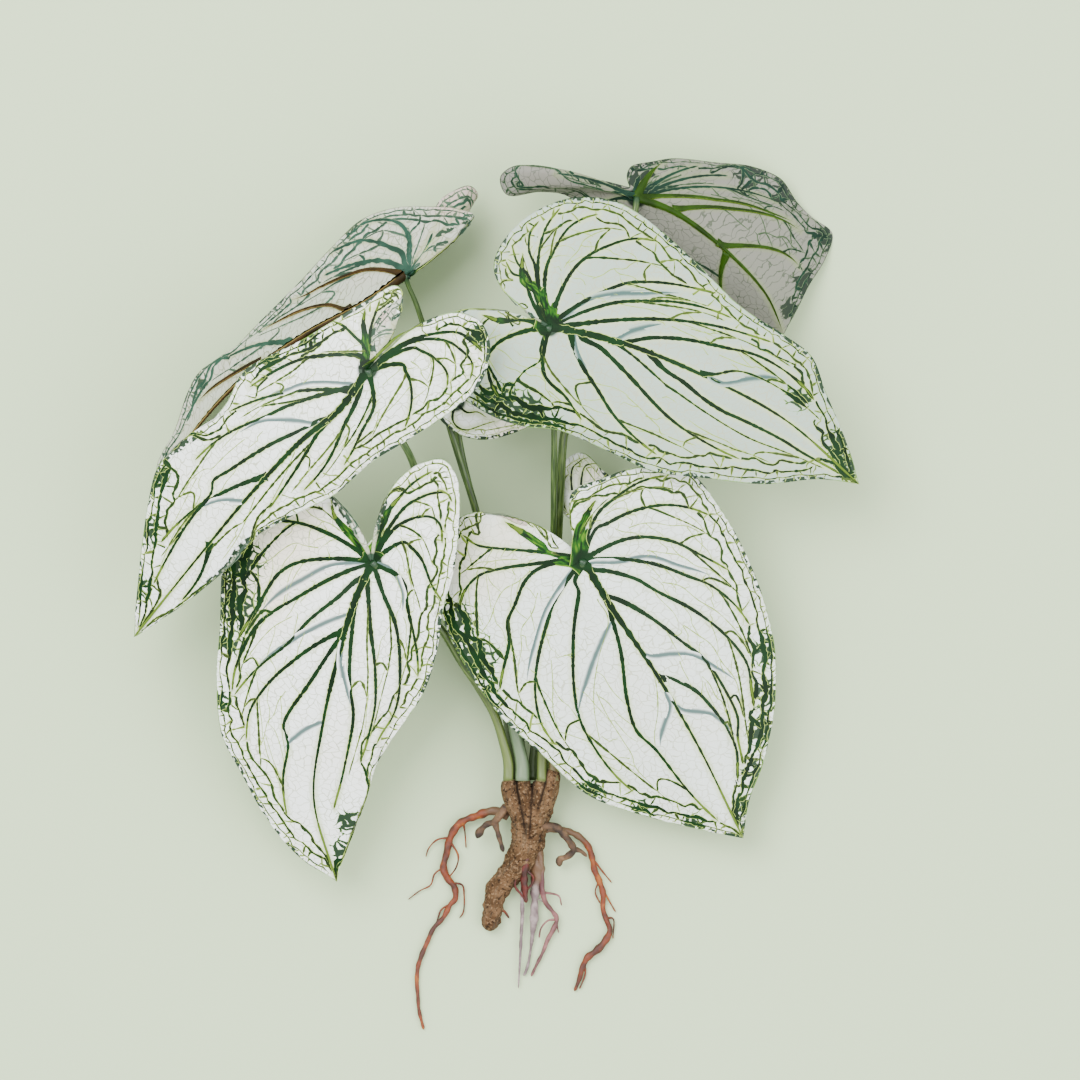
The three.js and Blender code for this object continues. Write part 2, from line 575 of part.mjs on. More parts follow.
function toSolid(corners, faces) {
  return new wasm.Manifold(new wasm.Mesh({
    numProp: 3,
    vertProperties: new Float32Array(corners),
    triVerts: new Uint32Array(faces),
  }));
}

// the underside carries the ribs
function bladeSolid(blade, skin) {
  const out = blade.underside;
  const ribbed = (i) => out * (BLADE_THICKNESS + skin.rises[i]);
  const upper = (i) => out * GROOVE_SHARE * skin.rises[i];
  return out > 0 ? thicken(skin, ribbed, upper) : thicken(skin, upper, ribbed);
}

// a closed tube of rings square to a path; each ring is a flattened round
function sweptSolid(path, sides, shape, ringsPerSpan = 1) {
  const curve = curveThrough(path);
  const rings = (path.length - 1) * ringsPerSpan;
  const corners = [];
  let aside = null;
  for (let i = 0; i <= rings; i += 1) {
    const place = i / ringsPerSpan;
    const along = curve.getTangent(Math.min(i / rings, 1));
    if (!aside) aside = new THREE.Vector3(0, 0, 1).cross(along).normalize();
    aside.addScaledVector(along, -aside.dot(along)).normalize();
    const up = along.clone().cross(aside);
    const centre = at(curve, place);
    for (let k = 0; k < sides; k += 1) {
      const turn = (2 * Math.PI * k) / sides;
      const [wide, deep] = shape(place, turn);
      const corner = centre.clone().addScaledVector(aside, wide).addScaledVector(up, deep);
      corners.push(corner.x, corner.y, Math.max(corner.z, 0));
    }
  }
  const faces = [];
  for (let i = 0; i < rings; i += 1) {
    for (let k = 0; k < sides; k += 1) {
      const a = i * sides + k;
      const b = i * sides + ((k + 1) % sides);
      faces.push(a, b, b + sides, a, b + sides, a + sides);
    }
  }
  const last = rings * sides;
  for (let k = 1; k + 1 < sides; k += 1) {
    faces.push(0, k + 1, k);
    faces.push(last, last + k, last + k + 1);
  }
  return toSolid(corners, faces);
}

function mix(values, place, column) {
  const low = Math.min(Math.floor(place), values.length - 1);
  const high = Math.min(low + 1, values.length - 1);
  return values[low][column] + (values[high][column] - values[low][column]) * (place - low);
}

function roundTube(path, sides) {
  return sweptSolid(path, sides, (place, turn) => {
    const radius = mix(path, place, 3);
    return [radius * Math.cos(turn), radius * Math.sin(turn)];
  });
}

// the corm's section is a soft-cornered round, fluted at the head
function cormSolid(extra) {
  return sweptSolid(CORM, CORM_SIDES, (place, turn) => {
    const flute = CORM_FLUTE_DEPTH * Math.max(0, 1 - place / 3) * Math.cos(CORM_FLUTES * turn);
    const soft = (value) => Math.sign(value) * Math.abs(value) ** 0.75;
    const wide = mix(CORM, place, 3) + extra + flute;
    const deep = mix(CORM, place, 4) + extra + flute;
    return [wide * soft(Math.cos(turn)), deep * soft(Math.sin(turn))];
  });
}

// a stalk squared off under its blade, drawn back until it clears the blade by the seat's gap
function seatedStalk(path, blade, skin, solid) {
  const tube = roundTube(path, STALK_SIDES);
  const foot = curveThrough(path).getTangent(0);
  const hub = new THREE.Vector3(...blade.midrib[0]);
  const away = skin.hubFacing.clone().multiplyScalar(blade.underside).add(foot).normalize();
  let stalk = tube;
  for (let back = 0.15; back < 9 && stalk.minGap(solid, 1) < SEAT_GAP; back += 0.15) {
    stalk = tube.trimByPlane(away.toArray(), away.dot(hub) + back);
  }
  return stalk;
}

// what is left of a solid after its seat is cut, without the offcuts
function trimmed(solid, seat) {
  const pieces = solid.subtract(seat).decompose();
  return pieces.reduce((best, piece) => (piece.volume() > best.volume() ? piece : best));
}

const part = new THREE.Group();

function addPiece(name, solid, colour, roughness) {
  const mesh = solid.getMesh();
  const geometry = new THREE.BufferGeometry();
  const corners = new Float32Array(mesh.numVert * 3);
  for (let i = 0; i < mesh.numVert; i += 1) {
    for (let k = 0; k < 3; k += 1) corners[3 * i + k] = mesh.vertProperties[mesh.numProp * i + k];
  }
  geometry.setAttribute('position', new THREE.BufferAttribute(corners, 3));
  geometry.setIndex(new THREE.BufferAttribute(new Uint32Array(mesh.triVerts), 1));
  geometry.translate(-MIDDLE_X, -MIDDLE_Y, 0);
  const piece = new THREE.Mesh(geometry, new THREE.MeshStandardMaterial({ color: colour, roughness }));
  piece.name = name;
  part.add(piece);
}

Object.entries(BLADES).forEach(([name, blade]) => {
  const skin = bladeSkin(blade);
  const solid = bladeSolid(blade, skin);
  addPiece(`blade_${name}`, solid, '#e3e6e2', 0.5);
  const stalk = seatedStalk(STALKS[name], blade, skin, solid);
  addPiece(`stalk_${name}`, stalk, '#7d9150', 0.45);
});

addPiece('corm', cormSolid(0), '#8a6a4c', 0.8);

const rootColours = {
  root_orange_left: '#b0632f',
  root_brown_left: '#8c5a3a',
  root_orange_right: '#b0632f',
  root_brown_right: '#8c5a3a',
  root_red: '#7a2412',
  root_white_left: '#d9d2c6',
  root_white_right: '#d9d2c6',
  root_pink: '#c7a3a4',
  root_hook: '#8c5a3a',
};
const cormSeat = cormSolid(SEAT_GAP);
Object.entries(ROOTS).forEach(([name, strands]) => {
  const solids = strands.map((path, i) => roundTube(path, i === 0 ? 6 : 5));
  const root = trimmed(solids.reduce((sum, solid) => sum.add(solid)), cormSeat);
  addPiece(name, root, rootColours[name], 0.75);
});

export default part;
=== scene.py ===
import math
import bpy
import numpy as np
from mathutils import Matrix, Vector


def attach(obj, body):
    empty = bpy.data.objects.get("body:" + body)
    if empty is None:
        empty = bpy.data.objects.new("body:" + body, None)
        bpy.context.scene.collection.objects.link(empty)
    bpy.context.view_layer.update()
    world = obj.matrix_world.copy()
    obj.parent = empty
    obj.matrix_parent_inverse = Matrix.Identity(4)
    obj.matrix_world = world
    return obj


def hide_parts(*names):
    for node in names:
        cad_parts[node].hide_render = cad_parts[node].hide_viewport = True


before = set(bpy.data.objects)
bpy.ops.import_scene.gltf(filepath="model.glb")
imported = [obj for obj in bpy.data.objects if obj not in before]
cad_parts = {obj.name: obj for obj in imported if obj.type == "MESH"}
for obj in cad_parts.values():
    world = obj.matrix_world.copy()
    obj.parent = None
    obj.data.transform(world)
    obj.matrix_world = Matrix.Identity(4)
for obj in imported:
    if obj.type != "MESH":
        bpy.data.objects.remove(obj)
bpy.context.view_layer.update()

mm = 0.001
middle = np.array([0.5, -1.18, 0])          # the plant's own middle, which the frame puts at zero


def linear(hexColour):
    # an sRGB hex value as a linear colour
    parts = [int(hexColour[i:i + 2], 16) / 255 for i in (1, 3, 5)]
    return [p / 12.92 if p <= 0.04045 else ((p + 0.055) / 1.055) ** 2.4 for p in parts] + [1]


def addNode(tree, kind, settings=None, inputs=None, output=0):
    # a node with its settings; each input is a fixed value or the output of another node, and
    # what comes back is its own output of that name or place
    node = tree.nodes.new(kind)
    for name, value in (settings or {}).items():
        setattr(node, name, value)
    for name, value in (inputs or {}).items():
        if isinstance(value, bpy.types.NodeSocket):
            tree.links.new(value, node.inputs[name])
        else:
            node.inputs[name].default_value = value
    return node.outputs[output] if node.outputs else None


def wander(points, size, seed):
    # a smooth uneven value from -1 to 1: a sum of three sines, each across its own direction
    rng = np.random.default_rng(seed)
    total = 0
    for turn in range(3):
        way = rng.normal(size=3)
        way /= np.linalg.norm(way) * size * (1 + 0.37 * turn) / (2 * math.pi)
        total = total + np.sin(points @ way + rng.uniform(0, 6.3))
    return total / 3


def newMesh(name, points, faces, materials, values=None, uv=None, normals=None, faceSlots=None):
    # a mesh from points in millimetres, with a named value at each point and a place in its map
    mesh = bpy.data.meshes.new(name)
    mesh.from_pydata(((points - middle) * mm).tolist(), [], faces.tolist())
    for key, value in (values or {}).items():
        attribute = mesh.attributes.new(key, "FLOAT", "POINT")
        attribute.data.foreach_set("value", np.asarray(value, float))
    if uv is not None:
        layer = mesh.uv_layers.new(name="OFBake")
        layer.data.foreach_set("uv", np.asarray(uv, float).ravel())
    for material in materials:
        mesh.materials.append(material)
    if faceSlots is not None:
        mesh.polygons.foreach_set("material_index", np.asarray(faceSlots, np.int32))
    mesh.polygons.foreach_set("use_smooth", [True] * len(mesh.polygons))
    if normals is not None:
        mesh.normals_split_custom_set_from_vertices(normals.tolist())
    thing = bpy.data.objects.new(name, mesh)
    bpy.context.scene.collection.objects.link(thing)
    return thing


def splineAt(points, place):
    # centripetal Catmull-Rom curve: a cubic between each two points, whose slopes come from the
    # neighbours, each weighed by the square root of its distance
    points = np.asarray(points, float)
    last = len(points) - 1
    place = np.clip(np.asarray(place, float), 0, last)
    i = np.minimum(place.astype(int), last - 1)
    w = (place - i)[..., None]
    longer = np.vstack([2 * points[0] - points[1], points, 2 * points[-1] - points[-2]])
    a, b, c, d = longer[i], longer[i + 1], longer[i + 2], longer[i + 3]
    gapAB, gapBC, gapCD = (np.maximum(((q - p) ** 2).sum(-1, keepdims=True), 1e-12) ** 0.25
                           for p, q in ((a, b), (b, c), (c, d)))
    out = ((b - a) / gapAB - (c - a) / (gapAB + gapBC) + (c - b) / gapBC) * gapBC
    into = ((c - b) / gapBC - (d - b) / (gapBC + gapCD) + (d - c) / gapCD) * gapBC
    return (b + out * w + (3 * (c - b) - 2 * out - into) * w ** 2
            + (2 * (b - c) + out + into) * w ** 3)


def halfOf(info, side):
    # one half of a blade: its edges, where its ribs start and end, and the way it faces
    name, column = ("Left", 1) if side > 0 else ("Right", 2)
    midrib, edge = np.array(info["midrib"], float), np.array(info[name.lower()], float)
    ends = [0] + info["fan" + name] + [pair[column] for pair in info["pairs"]] + [len(edge) - 1]
    starts = [0] * (len(info["fan" + name]) + 1) + [pair[0] for pair in info["pairs"]]
    starts.append(len(midrib) - 1)
    loop = np.vstack([splineAt(midrib, np.linspace(0, len(midrib) - 1, 25)),
                      splineAt(edge, np.linspace(len(edge) - 1, 0, 25))[1:]])
    face = np.cross(loop, np.roll(loop, -1, axis=0)).sum(axis=0) * side
    return {"side": side, "midrib": midrib, "edge": edge, "starts": starts, "ends": ends,
            "face": face / np.linalg.norm(face), "sweep": info["sweep"], "arch": info["arch"],
            "sweepFrom": max(info["fan" + name][0], 4)}


def skinAt(half, place, share):
    # a curve from the midrib to the edge, bowed towards the tip and lifted in the middle:
    # (1-v)^2 start + 2v(1-v) bend + v^2 end
    begin = splineAt(half["midrib"], np.interp(place, half["ends"], half["starts"]))
    end = splineAt(half["edge"], place)
    chord = end - begin
    spread = np.minimum(place / half["sweepFrom"], 1)[..., None]
    aside = np.cross(half["face"], chord) * half["side"] * half["sweep"] * spread
    length = np.linalg.norm(chord, axis=-1, keepdims=True)
    bend = (begin + end) / 2 + aside + half["face"] * half["arch"] * spread * length
    v = np.asarray(share, float)[..., None]
    return (1 - v) ** 2 * begin + 2 * v * (1 - v) * bend + v ** 2 * end

def unit(vectors):
    # each vector at length one
    return vectors / np.maximum(np.linalg.norm(vectors, axis=-1, keepdims=True), 1e-9)


def facingAt(half, place, share):
    # square to the skin: the cross product of its slopes along the edge and out from the midrib
    share = np.clip(share, 0.03, 0.97)
    last = half["ends"][-1]
    place = np.clip(place, 0.05, last - 0.05)
    along = skinAt(half, place + 0.04, share) - skinAt(half, place - 0.04, share)
    out = skinAt(half, place, share + 0.02) - skinAt(half, place, share - 0.02)
    return unit(np.cross(along, out) * half["side"])


# each blade: which face is up (-1 the upper one), how far its lines bow to the tip and rise,
# where the veins of its fan end on the margin, the veins further on as places on the midrib and
# on both margins, and the midrib's and the margins' own points in mm, which a script turned
# from points picked by eye into mm and rounded
blades = {
  "lower_right": {
    "under": -1,
    "sweep": 0.26,
    "arch": 0.05,
    "fanLeft": [4.3, 6.2, 8, 8.9, 9.8, 10.8],
    "fanRight": [2.6, 4.5, 6.8, 8.8, 10.3],
    "pairs": [[0.25, 11.9, 11.5], [1.05, 13, 12.7], [2, 13.9, 13.3], [3, 14.6, 13.7]],
    "midrib": [
      [43.5, 17, 62], [58, -7, 60], [79.5, -39, 52], [102, -77.5, 40], [124.5, -123.5, 25],
    ],
    "left": [
      [37.5, 24, 61], [38.5, 31, 64], [36.5, 43.5, 68], [38, 50.5, 71], [43.5, 54.5, 72],
      [53, 57.5, 70], [65.5, 62, 65], [79.5, 64, 60], [97, 61, 54], [116, 37, 48], [131, 7, 42],
      [139.5, -23.5, 37], [140.5, -53.5, 33], [135, -84, 30], [127.5, -104, 27],
      [124.5, -123.5, 25],
    ],
    "right": [
      [37.5, 24, 61], [26, 26.5, 62], [12, 34, 62], [-3, 40.5, 60], [-17, 39, 57],
      [-26.5, 24.5, 55], [-30, 4.5, 53], [-26.5, -14, 52], [-16.5, -34.5, 50], [0.5, -59.5, 46],
      [22, -80, 40], [47, -102, 32], [77.5, -113, 26], [102.5, -119, 24], [124.5, -123.5, 25],
    ],
  },
  "lower_left": {
    "under": -1,
    "sweep": 0.24,
    "arch": 0.05,
    "fanLeft": [4.9, 6.6, 7.6, 8.8, 10.3, 12],
    "fanRight": [3, 4.5, 6.6, 8, 9.2],
    "pairs": [[0.3, 13, 9.9], [1.4, 14, 10.8], [2.1, 14.4, 12.2], [3.3, 14.75, 13.3]],
    "midrib": [
      [-61.5, 16, 78], [-70.5, -4, 76], [-78.5, -30.5, 70], [-87, -67, 58], [-91.5, -103.5, 44],
      [-80.5, -145, 30],
    ],
    "left": [
      [-64, 25.5, 79], [-58.5, 31, 83], [-56, 43, 86], [-49.5, 56, 87], [-37.5, 65, 87],
      [-25.5, 67, 85], [-19, 57, 83], [-18, 37, 80], [-20.5, 14.5, 76], [-26.5, -9, 70],
      [-30, -30.5, 65], [-37, -51, 59], [-53, -74, 51], [-64.5, -94.5, 45], [-72.5, -118, 38],
      [-80.5, -145, 30],
    ],
    "right": [
      [-64, 25.5, 79], [-69.5, 29.5, 82], [-76.5, 41, 84], [-85, 52, 84], [-100, 58, 81],
      [-116.5, 53, 76], [-129.5, 36, 70], [-136.5, 14.5, 64], [-138, -10.5, 59],
      [-140, -45.5, 53], [-137.5, -71, 47], [-127, -92.5, 42], [-115, -114, 37],
      [-97.5, -134, 32], [-80.5, -145, 30],
    ],
  },
  "middle_left": {
    "under": -1,
    "sweep": 0.24,
    "arch": 0.04,
    "fanLeft": [6, 7, 7.9, 9, 10.6],
    "fanRight": [4.5, 6, 7.2, 10.3],
    "pairs": [[0.55, 11.7, 12.6], [1.3, 12.6, 14], [2.6, 13.8, 15.3], [3.8, 15, 16.3]],
    "midrib": [
      [-63, 111, 112], [-76.5, 92, 111], [-96.5, 75.5, 107], [-121.5, 49.5, 98],
      [-147, 19.5, 84], [-181, -21.5, 60],
    ],
    "left": [
      [-58, 117.5, 113], [-53, 121, 113], [-45, 128.5, 113], [-32.5, 136, 112],
      [-18.5, 139.5, 110], [-7, 134.5, 108], [-2.5, 122, 106], [-7.5, 104.5, 104],
      [-21.5, 91, 102], [-43.5, 76.5, 101], [-63, 64.5, 100], [-78.5, 50, 98], [-99, 40, 95],
      [-122, 27, 91], [-139.5, 8.5, 84], [-161.5, -9, 72], [-181, -21.5, 60],
    ],
    "right": [
      [-58, 117.5, 113], [-61, 123, 113], [-60.5, 132, 112], [-54.5, 141, 110], [-46, 148, 107],
      [-49, 153, 105], [-66, 144, 105], [-80, 135.5, 104], [-95, 126.5, 102], [-110.5, 119, 99],
      [-125, 110, 96], [-133.5, 95, 93], [-149, 78.5, 88], [-167, 65, 82], [-173, 46, 78],
      [-176.5, 24.5, 73], [-179, 2, 67], [-181, -21.5, 60],
    ],
  },
  "upper_right": {
    "under": -1,
    "sweep": 0.24,
    "arch": 0.05,
    "fanLeft": [3, 4.4, 5.8, 6.9, 8.1, 9.6, 10.5],
    "fanRight": [3.3, 5.5, 8.2, 10.8],
    "pairs": [[0.3, 11.5, 12.4], [1.2, 12.9, 13.4], [2.1, 13.6, 15], [3.2, 14.3, 15.5]],
    "midrib": [
      [26.5, 133, 88], [47, 129, 88], [71.5, 122, 85], [104, 108.5, 78], [144.5, 87, 65],
      [182, 55, 49],
    ],
    "left": [
      [18, 137, 88], [12, 143.5, 90], [3.5, 151, 90], [-1, 162, 89], [3, 174.5, 87],
      [17, 188.5, 85], [37, 197, 83], [59.5, 195.5, 81], [79, 183.5, 79], [100, 165, 76],
      [121.5, 144, 72], [143.5, 129.5, 67], [158, 118.5, 63], [165, 101, 59], [174.5, 78.5, 54],
      [182, 55, 49],
    ],
    "right": [
      [18, 137, 88], [6, 137.5, 87], [-9, 141, 85], [-21.5, 140, 83], [-28.5, 130.5, 81],
      [-28.5, 116.5, 80], [-24, 102.5, 78], [-12, 94.5, 77], [1, 87.5, 76], [15, 83.5, 75],
      [32, 81.5, 76], [54.5, 71.5, 75], [77, 61.5, 72], [104.5, 58, 67], [134.5, 55, 60],
      [162, 57.5, 54], [182, 55, 49],
    ],
  },
  "upper_left": {
    "under": 1,
    "sweep": 0.2,
    "arch": 0.04,
    "fanLeft": [3.4, 5, 7, 8.3],
    "fanRight": [3.5, 5.4, 6.5, 8.1, 9.3, 10.2],
    "pairs": [[0.15, 9.2, 11], [1.3, 10.2, 11.8], [2.2, 11.3, 13], [3.1, 12.4, 14.1],
              [4, 13.3, 15.5]],
    "midrib": [
      [-45.5, 160, 50], [-66, 145.5, 53], [-96, 130, 48], [-129, 107, 37], [-152, 82.5, 25],
      [-171.5, 53.5, 12],
    ],
    "left": [
      [-41.5, 165.5, 50], [-37.5, 174.5, 40], [-34.5, 185.5, 30], [-28.5, 198, 25],
      [-21, 203, 22], [-13.5, 205.5, 20], [-9.5, 201, 16], [-15.5, 195.5, 12], [-34, 186.5, 4],
      [-56.5, 174, -0.5], [-82, 154, -0.5], [-107.5, 133.5, -0.5], [-133, 114.5, -0.3],
      [-153, 95.5, 1.5], [-165.5, 75, 5], [-171.5, 53.5, 12],
    ],
    "right": [
      [-41.5, 165.5, 50], [-36, 172.5, 47], [-30.5, 179.5, 44], [-20, 184, 40], [-11, 190, 36],
      [-21, 194, 33], [-31.5, 195, 30], [-51, 194.5, 27], [-68, 188.5, 25], [-84, 173.5, 24],
      [-100, 157, 22], [-118.5, 138, 19], [-134.5, 122.5, 16], [-150, 112, 13],
      [-156.5, 100.5, 11], [-163, 81.5, 9], [-172, 65, 9], [-171.5, 53.5, 12],
    ],
  },
  "top_right": {
    "under": 1,
    "sweep": 0.2,
    "arch": 0.05,
    "fanLeft": [2.5, 3.7, 5.5, 7.2, 8.7],
    "fanRight": [4.5, 7, 8.6, 9.7],
    "pairs": [[1, 9.4, 11], [2, 11.2, 12], [3, 12.6, 13]],
    "midrib": [
      [70.5, 198.5, 46], [88.5, 192, 45], [113.5, 174, 40], [135.5, 151, 32], [145, 131, 24],
    ],
    "left": [
      [67, 204, 46], [65.5, 209.5, 44], [67.5, 214.5, 41], [77.5, 217, 36], [90, 219, 31],
      [110.5, 217.5, 24], [129, 215.5, 17], [143.5, 210, 10], [152.5, 198, 5], [161, 189.5, 1.5],
      [170, 182.5, -0.5], [167, 170, 4], [157.5, 155, 11], [150.5, 141, 18], [145, 131, 24],
    ],
    "right": [
      [67, 204, 46], [55, 207, 46], [39.5, 209.5, 46], [24.5, 212, 44], [9.5, 215, 41],
      [2, 209.5, 39], [5, 201, 37], [22, 202.5, 34], [36, 200.5, 30], [48, 189.5, 29],
      [63.5, 172, 28], [82.5, 154, 25], [105.5, 142, 22], [127, 135, 21], [145, 131, 24],
    ],
  },
  "small_centre": {
    "under": -1,
    "sweep": 0.15,
    "arch": 0.04,
    "fanLeft": [2, 3.2],
    "fanRight": [2, 3.3, 4.3],
    "pairs": [[0.8, 4.4, 5.3], [1.8, 5.2, 6.6]],
    "midrib": [
      [-20.5, 96.5, 44], [-3, 98.5, 45], [17, 101, 45], [33, 101.5, 43],
    ],
    "left": [
      [-26, 97.5, 45], [-29.5, 105, 46], [-27.5, 116.5, 47], [-15.5, 125, 47], [2, 125, 47],
      [19.5, 117.5, 46], [33, 101.5, 43],
    ],
    "right": [
      [-26, 97.5, 45], [-29.5, 93.5, 44], [-28.5, 88, 43], [-19.5, 80.5, 41], [-10.5, 77.5, 40],
      [-0.5, 78, 40], [15.5, 83.5, 42], [26, 90, 43], [33, 101.5, 43],
    ],
  },
  "small_right": {
    "under": -1,
    "sweep": 0.15,
    "arch": 0.04,
    "fanLeft": [3, 4.3, 5.6, 7],
    "fanRight": [2, 3],
    "pairs": [[0.8, 8, 4], [1.8, 9, 5]],
    "midrib": [
      [47, 32, 33], [63.5, 21, 34], [85, 2, 31], [110.5, -23.5, 24],
    ],
    "left": [
      [42, 30, 32], [37.5, 36.5, 30], [30, 44.5, 29], [28.5, 55, 29], [35, 67.5, 30],
      [43.5, 71, 31], [55.5, 60.5, 33], [75, 46, 34], [95, 24.5, 32], [106, 1, 28],
      [110.5, -23.5, 24],
    ],
    "right": [
      [42, 30, 32], [40, 23.5, 32], [42.5, 9.5, 31], [50, -8.5, 29], [66.5, -25, 27],
      [88.5, -31, 25], [110.5, -23.5, 24],
    ],
  },
}
